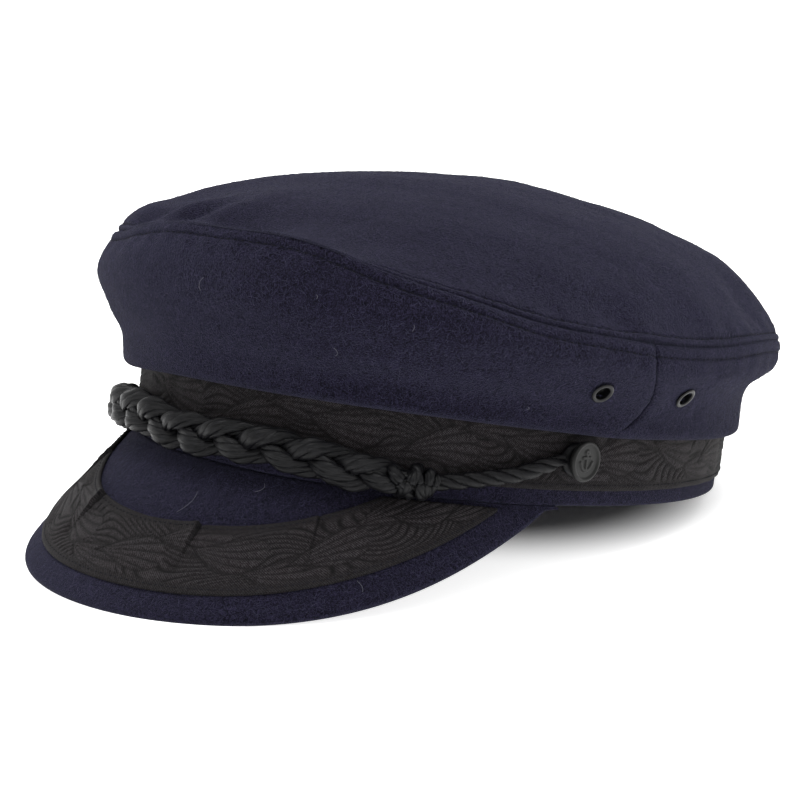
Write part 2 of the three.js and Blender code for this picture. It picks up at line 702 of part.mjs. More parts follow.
// Strands twisted together, swept along the rope's route, with an eye loop at the button
function rope(side) {
  const eyeRadius = BUTTON_SHANK_RADIUS + EYE_LOOP_CLEARANCE + EYE_LOOP_WIRE;
  const eyeOut = HEM_INNER + EYE_LOOP_WIRE;
  const rise = buttonHeight() - plaitHeight(ROPE_START_TURN);
  const end = 1 - turnsOf(eyeRadius, BUTTON_TURN) / (BUTTON_TURN - ROPE_START_TURN);
  const shares = [...ROPE_ROUTE.map(([share]) => share).filter((share) => share < end), end];
  const points = shares.map((share) => ovalPoint(
    side * THREE.MathUtils.lerp(ROPE_START_TURN, BUTTON_TURN, share),
    share < end ? HEM_INNER + ROPE_RADIUS : eyeOut,
    plaitHeight(ROPE_START_TURN) + rise * alongRoute(ROPE_ROUTE, share),
  ));
  const curve = new THREE.CatmullRomCurve3(points);
  const length = curve.getLength();
  const rings = steps(0, 1, ROPE_STEPS).map((share) => {
    const middle = curve.getPointAt(share);
    const along = curve.getTangentAt(share);
    const slimming = THREE.MathUtils.smoothstep(share, ROPE_SLIMS_FROM, 1);
    const slim = THREE.MathUtils.lerp(1, EYE_LOOP_WIRE / ROPE_RADIUS, slimming);
    const sideAxis = new THREE.Vector3().crossVectors(new THREE.Vector3(0, 0, 1), along).normalize();
    const upAxis = new THREE.Vector3().crossVectors(along, sideAxis);
    return steps(0, 2 * Math.PI, ROPE_SIDES).slice(0, -1).map((angle) => {
      const lobe = Math.abs(Math.cos(ROPE_STRANDS * angle / 2));
      const radius = slim * (ROPE_RADIUS - ROPE_GROOVE * (1 - lobe));
      const turned = angle + 2 * Math.PI * length * share / ROPE_PITCH;
      return middle.clone()
        .addScaledVector(sideAxis, radius * Math.cos(turned))
        .addScaledVector(upAxis, radius * Math.sin(turned));
    });
  });
  const twisted = ringStack(points[0], rings.map((ring) => ring.reverse()), points[points.length - 1]);
  const eye = new THREE.TorusGeometry(eyeRadius, EYE_LOOP_WIRE, EYE_LOOP_SIDES, EYE_LOOP_STEPS);
  eye.applyMatrix4(bandPlace(side * BUTTON_TURN, eyeOut, buttonHeight()));
  return joined([twisted, eye]);
}

// Button, in its own axes: Z outwards from the ribbon
function button(side) {
  const back = 2 * EYE_LOOP_WIRE + SEAM_GAP;
  const front = back + BUTTON_THICKNESS;
  const floor = front - ANCHOR_RELIEF;
  const profile = [
    [0, 0],
    [BUTTON_SHANK_RADIUS, 0],
    [BUTTON_SHANK_RADIUS, back],
    [BUTTON_RADIUS - BUTTON_RIM, back],
    [BUTTON_RADIUS, back + BUTTON_THICKNESS / 3],
    [BUTTON_RADIUS, front - BUTTON_RIM / 2],
    [BUTTON_RADIUS - BUTTON_RIM / 2, front],
    [BUTTON_RADIUS - BUTTON_RIM, front],
    [BUTTON_RADIUS - 1.5 * BUTTON_RIM, floor],
    [0, floor],
  ].map(([radius, height]) => new THREE.Vector2(radius, height));
  const disc = new THREE.LatheGeometry(profile, BUTTON_SIDES);
  disc.rotateX(Math.PI / 2);
  const whole = joined([disc, ...anchor(floor)]);
  return whole.applyMatrix4(bandPlace(side * BUTTON_TURN, HEM_INNER, buttonHeight()));
}

// A plain anchor standing off the button's face
function anchor(floor) {
  const bar = ANCHOR_HEIGHT * ANCHOR_BAR;
  const drop = -ANCHOR_HEIGHT * ANCHOR_ARM_DROP;
  const depth = 2 * ANCHOR_RELIEF;
  const stem = new THREE.BoxGeometry(bar, ANCHOR_HEIGHT * ANCHOR_STEM, depth);
  stem.translate(0, drop, 0);
  const stock = new THREE.BoxGeometry(ANCHOR_HEIGHT * ANCHOR_STOCK, bar, depth);
  stock.translate(0, ANCHOR_HEIGHT * ANCHOR_STOCK_RISE, 0);
  const ring = new THREE.CylinderGeometry(bar, bar, depth, ANCHOR_SIDES);
  ring.rotateX(Math.PI / 2).translate(0, ANCHOR_HEIGHT * ANCHOR_RING_RISE, 0);
  const reach = ANCHOR_HEIGHT * ANCHOR_ARM_RADIUS;
  const from = THREE.MathUtils.degToRad(180 + ANCHOR_ARM_ANGLE);
  const to = THREE.MathUtils.degToRad(360 - ANCHOR_ARM_ANGLE);
  const arms = new THREE.Shape();
  arms.absarc(0, 0, reach, from, to, false);
  arms.absarc(0, 0, reach - bar, to, from, true);
  const options = { depth, bevelEnabled: false, curveSegments: ANCHOR_SIDES };
  const armSolid = new THREE.ExtrudeGeometry(arms, options);
  armSolid.translate(0, drop, -depth / 2);
  return [stem, stock, ring, armSolid].map((piece) => piece.translate(0, 0, floor));
}

// Eyelet: a flanged barrel through the crown with an inner washer, made as one turned ring
function eyelet(turn) {
  const outside = EYELET_LIFT + EYELET_FLANGE;
  const inside = -CROWN_WALL - 2 * EYELET_LIFT - EYELET_FLANGE;
  const profile = [
    [EYELET_BORE_RADIUS, inside],
    [EYELET_RADIUS, inside],
    [EYELET_RADIUS, inside + EYELET_FLANGE],
    [EYELET_BARREL_RADIUS, inside + EYELET_FLANGE],
    [EYELET_BARREL_RADIUS, EYELET_LIFT],
    [EYELET_RADIUS, EYELET_LIFT],
    [EYELET_RADIUS - EYELET_FLANGE / 2, outside],
    [EYELET_BORE_RADIUS, outside],
    [EYELET_BORE_RADIUS, inside],
  ].map(([radius, height]) => new THREE.Vector2(radius, height));
  const geometry = new THREE.LatheGeometry(profile, EYELET_SIDES);
  geometry.rotateX(Math.PI / 2);
  return geometry.applyMatrix4(crownPlace(turn, EYELET_DROP));
}

// Tilt at which the cap lies on the rear of its band and the rim of its peak
function restingTilt() {
  const angles = peakTurns.flatMap((turn) => peakOutline(turn).map((p) => {
    const point = ovalPoint(turn, p.x, p.y);
    return Math.atan2(-point.z, BAND_HALF_LENGTH - point.y);
  }));
  return Math.max(...angles);
}

const tilt = restingTilt();
const tilted = new THREE.Matrix4().makeRotationX(-tilt);
const rearEdge = new THREE.Vector3(0, BAND_HALF_LENGTH, 0).applyMatrix4(tilted);
const floorHeight = rearEdge.z + FLATTENED_EDGE;

// Everything below the table's surface, to flatten the edges that rest on it
function belowTable() {
  const side = 4 * (BAND_HALF_LENGTH + PEAK_LENGTH);
  const block = new THREE.BoxGeometry(side, side, side);
  block.translate(0, 0, floorHeight - side / 2);
  return block.applyMatrix4(tilted.clone().invert());
}

const cap = new THREE.Group();

function add(name, geometry, surface) {
  const mesh = new THREE.Mesh(geometry, surface);
  mesh.name = name;
  cap.add(mesh);
}

const frontEyeletTurn = EYELET_MIDDLE_TURN - EYELET_SPREAD_TURN;
const rearEyeletTurn = EYELET_MIDDLE_TURN + EYELET_SPREAD_TURN;
const frontEyelets = [frontEyeletTurn, -frontEyeletTurn];
const rearEyelets = [rearEyeletTurn, 360 - rearEyeletTurn];

add('crown_top', crownTop(), WOOL);
add('crown_front', crownPanel(-SIDE_SEAM_TURN, SIDE_SEAM_TURN, frontEyelets), WOOL);
add('crown_rear', crownPanel(SIDE_SEAM_TURN, 360 - SIDE_SEAM_TURN, rearEyelets), WOOL);
add('headband', cut(headband(), belowTable()), WOOL);
add('band_ribbon', bandRibbon(), RIBBON);
add('peak', cut(sweepRound(peakTurns, peakOutline), belowTable()), WOOL);
add('peak_ribbon', peakRibbon(), RIBBON);
add('braid', braid(), CORD);
for (const [name, side] of [['left', 1], ['right', -1]]) {
  add(`knot_${name}`, knot(side), CORD);
  add(`rope_${name}`, rope(side), CORD);
  add(`button_${name}`, button(side), BUTTON);
  add(`eyelet_${name}_front`, eyelet(side * frontEyeletTurn), ENAMEL);
  add(`eyelet_${name}_rear`, eyelet(side * rearEyeletTurn), ENAMEL);
}

cap.rotation.x = -tilt;
cap.updateMatrixWorld(true);
const bounds = new THREE.Box3().setFromObject(cap, true);
cap.position.set(
  -(bounds.min.x + bounds.max.x) / 2,
  -(bounds.min.y + bounds.max.y) / 2,
  -floorHeight,
);

export default cap;
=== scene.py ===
# Breton fisherman cap: its looks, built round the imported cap. The wool, ribbons, plait and stitches
# are dense meshes on the same surfaces as the cap's solids.
# Shapes are worked out in millimetres in the cap's own frame: the lower edge of the band in the plane
# z = 0, the front towards -Y and the wearer's left towards +X. "Turn" goes round the head in degrees
# from the front towards the wearer's left. place() tilts them to the way the cap rests, in metres.

import math

import bpy
import numpy as np
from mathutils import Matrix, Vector


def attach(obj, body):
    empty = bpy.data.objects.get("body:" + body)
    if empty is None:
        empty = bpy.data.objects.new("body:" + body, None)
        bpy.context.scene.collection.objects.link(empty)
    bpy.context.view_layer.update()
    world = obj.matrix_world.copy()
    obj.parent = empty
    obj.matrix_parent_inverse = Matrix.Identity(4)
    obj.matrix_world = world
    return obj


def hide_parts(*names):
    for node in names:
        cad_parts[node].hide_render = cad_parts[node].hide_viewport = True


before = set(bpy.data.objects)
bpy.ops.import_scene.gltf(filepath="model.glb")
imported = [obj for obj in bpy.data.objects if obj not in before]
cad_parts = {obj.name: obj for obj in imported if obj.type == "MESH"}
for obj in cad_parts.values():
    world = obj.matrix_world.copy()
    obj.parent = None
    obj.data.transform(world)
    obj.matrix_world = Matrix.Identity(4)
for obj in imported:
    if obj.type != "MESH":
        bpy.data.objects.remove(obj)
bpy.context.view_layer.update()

# How the cap rests: its tilt back on the rear of the band, and where that puts its frame
MM = 0.001
REST_TILT = math.radians(10.43)
REST_SHIFT = (-0.014, 11.975, 18.246)

# Band, ribbons and crown, as in the solids
SEAM_GAP = 0.3
BAND_HALF_WIDTH = 86
BAND_HALF_LENGTH = 103
BAND_HEIGHT = 30
BAND_WALL = 2.7
RIBBON_THICKNESS = 1
WOOL_BELOW_RIBBON = 5
WOOL_ABOVE_RIBBON = 1
HEM_INNER = SEAM_GAP + RIBBON_THICKNESS + SEAM_GAP
CROWN_WALL = 2.2
CROWN_OVERHANG = 20
CROWN_RISE = 42.5
HEM_FOLD = 6
HEM_DROP = 11
LIP_BOTTOM = BAND_HEIGHT + SEAM_GAP
LIP_TOP = LIP_BOTTOM + CROWN_WALL
DOME_EDGE = 0.87
DOME_BULGE = 24.5
DOME_ROUNDING = 9.9
FOLD_RISE = 2.6
FOLD_FADING = 30
SIDE_SEAM_TURN = 86

# Peak
PEAK_LENGTH = 59.5
PEAK_END_TURN = 74.5
PEAK_THICKNESS = 3.2
PEAK_FRONT_SLOPE = 46.5
PEAK_SIDE_SLOPE = 59
PEAK_CURL = 4.8
PEAK_TAPER = 1.22
PEAK_NUB = 2.2
PEAK_RIBBON_WIDTH = 25.5
PEAK_RIBBON_INSET = 11

# Crown outline by turn: "out" columns are shares of CROWN_OVERHANG, "rise" columns of CROWN_RISE
CROWN_COLUMNS = ("turn", "seam_out", "seam_rise", "puff_out", "puff_rise", "mid_out", "mid_rise",
                 "waist_out", "waist_rise", "hem_fold", "hem_drop")
CROWN_ROWS = (
    (-180, 0.74, 0.46, 0.68, 0.28, 0.38, 0.15, 0.26, 0.02, 0.63, 0.95),
    (-135, 0.75, 0.45, 0.70, 0.28, 0.40, 0.14, 0.28, 0.02, 0.65, 0.95),
    (-90, 0.80, 0.45, 0.85, 0.28, 0.60, 0.14, 0.40, 0.00, 0.87, 0.60),
    (-45, 0.73, 0.64, 0.93, 0.40, 0.70, 0.16, 0.46, 0.00, 1.00, 1.00),
    (0, 0.75, 1.00, 1.00, 0.64, 0.75, 0.31, 0.48, 0.09, 1.00, 0.53),
    (45, 0.83, 0.82, 1.00, 0.56, 0.75, 0.28, 0.46, 0.09, 1.00, 0.45),
    (90, 0.80, 0.54, 0.85, 0.36, 0.60, 0.18, 0.40, 0.02, 0.87, 0.72),
    (135, 0.74, 0.48, 0.68, 0.31, 0.38, 0.18, 0.26, 0.05, 0.63, 0.95),
)

# Folds of the top: turn, reach (share of the way out), half sizes, height as a share of FOLD_RISE
FOLD_COLUMNS = ("turn", "reach", "half_turn", "half_reach", "rise")
FOLD_ROWS = (
    (-34, 0.95, 16, 0.09, 1.9),
    (-46, 0.74, 14, 0.14, 0.5),
    (-20, 0.94, 5, 0.06, -1.1),
    (-14, 0.87, 4, 0.11, 1.3),
    (-8, 0.89, 4, 0.07, -1.1),
    (-2, 0.86, 4.5, 0.10, 1.3),
    (-4, 0.68, 8, 0.12, 0.6),
    (9, 0.90, 6, 0.07, -0.8),
    (76, 0.955, 4.5, 0.05, -1.1),
    (98, 0.92, 5, 0.07, 0.4),
    (117, 0.93, 5, 0.06, -0.8),
    (126, 0.88, 5, 0.09, 0.7),
    (-75, 0.88, 12, 0.10, -0.7),
    (150, 0.84, 14, 0.10, 0.6),
)

# Waves of the top seam: turn, half size in degrees, height as a share of CROWN_RISE
SEAM_WAVES = ((-42, 12, 0.06), (-20, 14, -0.037), (24, 12, 0.078), (63, 13, -0.056), (116, 18, 0.075))

# Camera, as the photograph was taken
CAMERA_AZIMUTH = math.radians(46)
CAMERA_ELEVATION = math.radians(14.5)
CAMERA_DISTANCE = 1.1
CAMERA_LENS = 150
CAMERA_SENSOR = 36
CAMERA_TARGET = (-0.0136, 0.0112, 0.0340)


def catmull_rom(p0, p1, p2, p3, t):
    linear = (p2 - p0) * t
    square = (2 * p0 - 5 * p1 + 4 * p2 - p3) * t**2
    cube = (3 * p1 - p0 - 3 * p2 + p3) * t**3
    return p1 + 0.5 * (linear + square + cube)


def smoothstep(low, high, value):
    t = np.clip((value - low) / (high - low), 0, 1)
    return t * t * (3 - 2 * t)


def bump(distance):
    return np.exp(-np.square(distance))


def turn_between(turn, centre):
    """Turns from a centre to a turn, from -180 to 180."""
    return (np.asarray(turn) - centre + 180) % 360 - 180


def oval(turn, out, z):
    """Points of the band's oval, moved out along its normal."""
    turn, out, z = np.broadcast_arrays(np.asarray(turn, float), out, z)
    sin = np.sin(np.radians(turn))
    cos = np.cos(np.radians(turn))
    length = np.hypot(sin / BAND_HALF_WIDTH, cos / BAND_HALF_LENGTH)
    x = BAND_HALF_WIDTH * sin + out * sin / BAND_HALF_WIDTH / length
    y = -BAND_HALF_LENGTH * cos - out * cos / BAND_HALF_LENGTH / length
    return np.stack([x, y, z], -1)


def place(points):
    """Points of the cap's own frame in millimetres, as the cap rests on the floor, in metres."""
    x, y, z = np.moveaxis(np.asarray(points, float), -1, 0)
    cos = math.cos(REST_TILT)
    sin = math.sin(REST_TILT)
    row = np.stack([x + REST_SHIFT[0], cos * y + sin * z + REST_SHIFT[1],
                    cos * z - sin * y + REST_SHIFT[2]], -1)
    row[..., 2] = np.maximum(row[..., 2], 0)
    return row * MM


# Meshes


def new_piece(name, points, faces, material, replaced=None, shades=None, cloth=None):
    """A mesh from points in the cap's frame. Each point may have a painted shade from 0 to 1 and a place on
    the cloth or cord, along it and across or round it."""
    mesh = bpy.data.meshes.new(name)
    mesh.from_pydata(place(points).tolist(), [], [list(face) for face in faces])
    mesh.polygons.foreach_set("use_smooth", np.ones(len(mesh.polygons), bool))
    for label, kind, key, values in (("shade", "FLOAT", "value", shades),
                                     ("cloth", "FLOAT_VECTOR", "vector", cloth)):
        if values is not None:
            attribute = mesh.attributes.new(label, kind, "POINT")
            attribute.data.foreach_set(key, np.asarray(values, np.float32).ravel())
    mesh.materials.append(material)
    mesh.update()
    piece = bpy.data.objects.new(name, mesh)
    bpy.context.scene.collection.objects.link(piece)
    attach(piece, "root")
    if replaced:
        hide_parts(*replaced)
    return piece


def grid_faces(rows, columns, close_rows=False, close_columns=False, start=0):
    """Quads of a grid of vertices, row by row, closed on itself either way if asked."""
    row = np.arange(rows if close_rows else rows - 1)[:, None]
    column = np.arange(columns if close_columns else columns - 1)[None, :]
    next_row = (row + 1) % rows
    next_column = (column + 1) % columns
    corners = [row * columns + column, row * columns + next_column,
               next_row * columns + next_column, next_row * columns + column]
    return start + np.stack(np.broadcast_arrays(*corners), -1).reshape(-1, 4)


def band_faces(rows, columns):
    """Faces of a grid whose rows close on themselves, with a flat end at its first and last column."""
    faces = grid_faces(rows, columns, close_rows=True).tolist()
    faces.append([row * columns for row in range(rows)])
    faces.append([row * columns + columns - 1 for row in range(rows)][::-1])
    return faces


def lengths_along(points):
    """Length of the way along rows of points, up to each of them."""
    steps = np.linalg.norm(np.diff(points, axis=0), axis=-1)
    return np.concatenate([np.zeros((1, *steps.shape[1:])), np.cumsum(steps, 0)])


# Turns at which the band's length is measured
MEASURED_TURNS = np.linspace(-200, 560, 3041)


def oval_length(turn):
    """Length along the band from the front to a turn, in millimetres."""
    length = lengths_along(oval(MEASURED_TURNS, 0, 0))
    return np.interp(turn, MEASURED_TURNS, length) - np.interp(0, MEASURED_TURNS, length)


# Keeps a length of nothing from dividing
TINY = 1e-12


def surface_normals(points, close_columns):
    """Unit normals of a grid of points, turned away from the middle of the head."""
    if close_columns:
        across = np.roll(points, -1, 1) - np.roll(points, 1, 1)
    else:
        across = np.gradient(points, axis=1)
    normals = np.cross(across, np.gradient(points, axis=0))
    normals /= np.linalg.norm(normals, axis=-1, keepdims=True) + TINY
    away = points - np.array([0, 0, BAND_HEIGHT])
    sign = np.where(np.sum(normals * away) > 0, 1, -1)
    return normals * sign


# Shares of a surface's way at which its length is measured
MEASURED_SHARES = np.linspace(0, 1, 241)


def rows_at(points_of, near, count):
    """Shares of a surface's way, from 0 to 1, at distances in millimetres from its start for each
    column, followed by an even spread over the rest of the way. Returns the distances too."""
    length = lengths_along(points_of(MEASURED_SHARES[:, None]))
    rest = np.linspace(0, 1, count + 1)[1:]
    shares = []
    distances = []
    for column in length.T:
        target = np.concatenate([near, near[-1] + rest * (column[-1] - near[-1])])
        shares.append(np.interp(target, column, MEASURED_SHARES))
        distances.append(target)
    return np.array(shares).T, np.array(distances).T


# Slight unevenness of soft cloth: bends along X, Y and Z, phase and height of each wave, millimetres
# for one bend, and how much and how often each wave wanders
SOFT_WAVES = ((0.031, 0.017, 0.022, 0.4, 0.30), (-0.024, 0.043, 0.011, 2.1, 0.26),
              (0.052, 0.035, -0.047, 4.4, 0.17), (-0.071, 0.029, 0.066, 1.2, 0.13),
              (0.045, -0.094, 0.083, 3.3, 0.09), (0.128, 0.061, -0.103, 5.1, 0.06),
              (-0.092, 0.157, 0.134, 0.9, 0.045))
BEND_LENGTH = 2.2
WANDER = 0.9
WANDER_PACE = 0.6


def unevenness(points):
    """Height in millimetres that soft cloth lies above or below its even surface."""
    height = 0
    for x, y, z, phase, size in SOFT_WAVES:
        bends = points @ np.array([x, y, z])
        wander = WANDER * np.sin(WANDER_PACE * bends + phase)
        height = height + size * np.sin(bends * 2 * math.pi / BEND_LENGTH + phase + wander)
    return height


def round_waves(turns, size, pace, wander, wander_pace):
    """Small uneven waves of the cloth round the cap."""
    return size * np.sin(turns * pace + wander * np.sin(turns * wander_pace))


def dips(distance, rows):
    """Depth of the cloth's dips at a distance from their middle. Rows hold depths and half widths."""
    return sum(depth * bump(distance / half) for depth, half in rows)


# Crown

MITRE = 0.8 * CROWN_WALL
MITRE_SHIFT = 0.05
STITCHES_BELOW_SEAM = 4.0
STITCHES_ABOVE_SEAM = 2.7

# Dips at the top seam, along its stitches and at a side seam: depths and half widths in millimetres
SEAM_DIPS = ((0.75, 0.5), (0.22, 1.4))
STITCH_DIPS = ((0.34, 0.45), (0.12, 1.3))
SIDE_SEAM_DIPS = ((0.35, 0.5), (0.3, 1.8))
# Their painted shade, where shade falls in those dips, likewise
SEAM_PAINTED_SHADE = ((0.88, 0.5),)
STITCH_PAINTED_SHADE = ((0.45, 0.5),)
SIDE_SEAM_PAINTED_SHADE = ((0.3, 0.7),)
# Fullness between the seam and its stitches: height, and place and half width as shares of the way
SEAM_FULLNESS = 0.22
SEAM_FULL_PLACE = 0.55
SEAM_FULL_HALF = 0.35
# Fullness beside a side seam: height, place and half width
SIDE_SEAM_FULLNESS = 0.16
SIDE_SEAM_FULL_PLACE = 3
SIDE_SEAM_FULL_HALF = 2.2

# Waves beside the top seam: height, pace, wander and its pace; then their distance from the seam
SIDE_WAVES = (0.16, 1.07, 1.8, 0.13)
SIDE_WAVES_AWAY = 6
TOP_WAVES = (0.18, 0.93, 1.9, 0.11)
TOP_WAVES_AWAY = 5
WAVES_HALF = 4
# How much of soft cloth's unevenness the side, the top and the peak show
SIDE_UNEVENNESS = 0.75
TOP_UNEVENNESS = 0.85
PEAK_UNEVENNESS = 0.35

# Distances from the top seam at which the cloth gets a row of points: dense at the seam and stitches
NEAR_SEAM = np.array([0, 0.15, 0.3, 0.5, 0.75, 1.05, 1.4, 1.8, 2.1, 2.35, 2.55, 2.7, 2.85, 3.05, 3.3,
                      3.55, 3.75, 3.9, 4, 4.1, 4.25, 4.45, 4.75, 5.2, 5.8, 6.6, 7.6])


def crown_keys(turn):
    table = np.array(CROWN_ROWS, float)
    spot = ((np.asarray(turn, float) - table[0, 0]) % 360) * len(table) / 360
    first = np.floor(spot).astype(int)
    rows = [table[(first + shift) % len(table)] for shift in (-1, 0, 1, 2)]
    blended = catmull_rom(*rows, (spot - first)[..., None])
    keys = {name: blended[..., i] for i, name in enumerate(CROWN_COLUMNS)}
    for centre, half_turn, rise in SEAM_WAVES:
        keys["seam_rise"] = keys["seam_rise"] + rise * bump(turn_between(turn, centre) / half_turn)
    return keys


def crown_path(turn):
    """Key points of the side's outer face from the top seam to the hem's widest place, with one more
    beyond each end, and the hem's radius."""
    key = crown_keys(turn)
    radius = HEM_FOLD * key["hem_fold"] / 2
    names = ("seam", "puff", "mid", "waist")
    out = [key[name + "_out"] * CROWN_OVERHANG for name in names] + [HEM_INNER + 2 * radius]
    z = [BAND_HEIGHT + key[name + "_rise"] * CROWN_RISE for name in names]
    z.append(BAND_HEIGHT - HEM_DROP * key["hem_drop"] + radius)
    out = np.stack([2 * out[0] - out[1], *out, out[-1]])
    z = np.stack([2 * z[0] - z[1], *z, z[-1] - HEM_FOLD])
    return out, z, radius


def crown_side(turn, drop):
    """Outer face of the side: drop runs from 0 at the top seam to 1 at the hem's widest place."""
    out, z, _ = crown_path(turn)
    spans = len(out) - 3
    spot = np.clip(np.broadcast_to(drop, np.broadcast(drop, turn).shape), 0, 1) * spans
    first = np.minimum(spot.astype(int), spans - 1)
    columns = np.arange(len(turn))
    sides = [catmull_rom(*[path[first + shift, columns] for shift in range(4)], spot - first)
             for path in (out, z)]
    return sides[0], sides[1]


# Way of the side seam: turns that it lies off SIDE_SEAM_TURN, by drop, and turns round it that follow
SIDE_SEAM_DROPS = (0, 0.26, 0.47, 0.63, 0.8, 0.93, 1)
SIDE_SEAM_LEANS = (-3.0, -2.5, 0.0, 1.0, 0.3, -1.6, -3.6)
SIDE_SEAM_SPREAD = 9
# Half the width in degrees of the slit at a side seam, which the inner faces close
SEAM_SLIT = 0.1


def seam_shift(turn, drop):
    """Turns that the cloth beside a side seam is moved by, to follow the way of the seam."""
    lean = np.interp(drop, SIDE_SEAM_DROPS, SIDE_SEAM_LEANS)
    left, right = [bump(turn_between(turn, side * SIDE_SEAM_TURN) / SIDE_SEAM_SPREAD) for side in (1, -1)]
    return lean * (left - right)


def seam_relief(distance, stitches):
    """Height of the cloth by its distance from a seam: turned in at the seam, full over the layers
    beneath and pulled down along a row of stitches."""
    full = SEAM_FULLNESS * bump((distance / stitches - SEAM_FULL_PLACE) / SEAM_FULL_HALF)
    return full - dips(distance, SEAM_DIPS) - dips(distance - stitches, STITCH_DIPS)


# Painted shade where the cloth dips at a seam and along its row of stitches; 1 where there is none
def seam_shade(distance, stitches):
    return 1 - dips(distance, SEAM_PAINTED_SHADE) - dips(distance - stitches, STITCH_PAINTED_SHADE)


# Rows and columns of a side panel's points: columns close to a side seam, where the even ones start
# and how far these are apart, in degrees; and the radius at which turns become millimetres
SIDE_ROWS = 46
CLOSE_COLUMNS = np.array([0, 0.1, 0.2, 0.32, 0.48, 0.68, 0.95, 1.3, 1.75, 2.3])
EVEN_FROM = 2.9
COLUMN_TURN = 0.62
SIDE_SEAM_RADIUS = 100
# Points round the hem's fold, and its painted shade from the band's side outwards
HEM_POINTS = 15
HEM_SHADES = (0.1, 0.95)
# Drops at which the inside of a side panel has its rows
INNER_DROPS = np.linspace(0.08, 0.75, 14)
INNER_STEP = 0.02


def side_grid(turns):
    """Outer face of the crown's side: points, distances below the top seam and painted shade."""
    def on_face(drop):
        out, z = crown_side(turns, drop)
        return oval(turns, out, z)

    drops, distance = rows_at(on_face, NEAR_SEAM, SIDE_ROWS)
    out, z = crown_side(turns, drops)
    points = oval(turns + seam_shift(turns, drops), out, z)
    normals = surface_normals(points, False)
    to_side = np.minimum(abs(turn_between(turns, SIDE_SEAM_TURN)), abs(turn_between(turns, -SIDE_SEAM_TURN)))
    to_side_seam = np.radians(to_side) * SIDE_SEAM_RADIUS
    fading = smoothstep(0, 3, distance) * (1 - smoothstep(0.9, 1, drops))
    height = seam_relief(distance, STITCHES_BELOW_SEAM)
    height += SIDE_UNEVENNESS * fading * unevenness(points)
    height += round_waves(turns, *SIDE_WAVES) * bump((distance - SIDE_WAVES_AWAY) / WAVES_HALF)
    above_hem = 1 - smoothstep(0.9, 0.99, drops)
    height -= dips(to_side_seam, SIDE_SEAM_DIPS) * smoothstep(0, 1, distance) * above_hem
    beside = bump((to_side_seam - SIDE_SEAM_FULL_PLACE) / SIDE_SEAM_FULL_HALF)
    height += SIDE_SEAM_FULLNESS * beside * smoothstep(1, 6, distance)
    # Painted shade in the dips at the top seam, its stitches and a side seam
    shade = seam_shade(distance, STITCHES_BELOW_SEAM) - dips(to_side_seam, SIDE_SEAM_PAINTED_SHADE)
    return points + normals * height[..., None], distance, shade


def side_turns(start, end):
    """Turns of a side panel's columns: evenly apart, and closer at its two seams."""
    middle = np.linspace(start + EVEN_FROM, end - EVEN_FROM, int((end - start) / COLUMN_TURN))
    return np.concatenate([start + CLOSE_COLUMNS, middle, (end - CLOSE_COLUMNS)[::-1]])


def crown_panel(name, start, end, eyelets, material):
    turns = side_turns(start + SEAM_SLIT, end - SEAM_SLIT)
    inner_turns = np.concatenate([[start], turns[1:-1], [end]])
    outer, distance, shade = side_grid(turns)
    out, z, radius = crown_path(turns)
    hem_out = HEM_INNER + 2 * radius
    hem_z = z[-2]
    angles = np.radians(np.linspace(-180, 0, HEM_POINTS))[:-1, None]
    arc = oval(turns + seam_shift(turns, np.ones_like(turns)), hem_out - radius + radius * np.cos(angles),
               hem_z + radius * np.sin(angles))
    mitre = oval(turns, out[1] - MITRE, z[1] - MITRE)[None]
    inner = []
    for drop in INNER_DROPS:
        here = crown_side(inner_turns, np.full_like(turns, drop))
        below = crown_side(inner_turns, np.full_like(turns, drop + INNER_STEP))
        step = np.stack([below[0] - here[0], below[1] - here[1]])
        step /= np.hypot(*step)
        height = np.maximum(here[1] + step[0] * -CROWN_WALL, LIP_TOP)
        inner.append(oval(inner_turns, here[0] + step[1] * CROWN_WALL, height))
    lip = [oval(inner_turns, *corner) for corner in ((-BAND_WALL, LIP_TOP), (-BAND_WALL, LIP_BOTTOM),
                                               (HEM_INNER, LIP_BOTTOM))]
    points = np.concatenate([arc, outer[::-1], mitre, np.stack(inner + lip)])
    rows, columns = points.shape[:2]
    shades = np.ones((rows, columns))
    shades[:len(arc)] = np.linspace(*HEM_SHADES, len(arc))[:, None]
    shades[len(arc):len(arc) + len(outer)] = shade[::-1]
    piece = new_piece(f"cap_{name}", points.reshape(-1, 3), band_faces(rows, columns), material,
                      [f"crown_{name}"], shades)
    for turn in eyelets:
        cut_eyelet_hole(piece, turn)
    return outer, distance


def dome_points(turn, reach):
    """Outer face of the domed top: reach runs from 0 in the middle to 1 at the seam."""
    key = crown_keys(turn)
    rim = oval(turn, key["seam_out"] * CROWN_OVERHANG - MITRE_SHIFT,
               BAND_HEIGHT + key["seam_rise"] * CROWN_RISE + MITRE_SHIFT)
    dome = BAND_HEIGHT + DOME_EDGE * CROWN_RISE + DOME_BULGE * (1 - reach**2)
    height = dome + (rim[..., 2] - dome) * reach**DOME_ROUNDING
    for fold in (dict(zip(FOLD_COLUMNS, row)) for row in FOLD_ROWS):
        across = bump(turn_between(turn, fold["turn"]) / fold["half_turn"])
        along = bump((reach - fold["reach"]) / fold["half_reach"])
        height = height + FOLD_RISE * fold["rise"] * across * along * (1 - reach**FOLD_FADING)
    return np.stack([rim[..., 0] * reach, rim[..., 1] * reach, height], -1)


TOP_COLUMNS = 561
TOP_ROWS = 64
# Every so many rows of the top's outer face have one on its inner face
TOP_INNER_STEP = 6
# Reach of the hole that a flat face closes at the top's middle
TOP_MIDDLE = 0.004


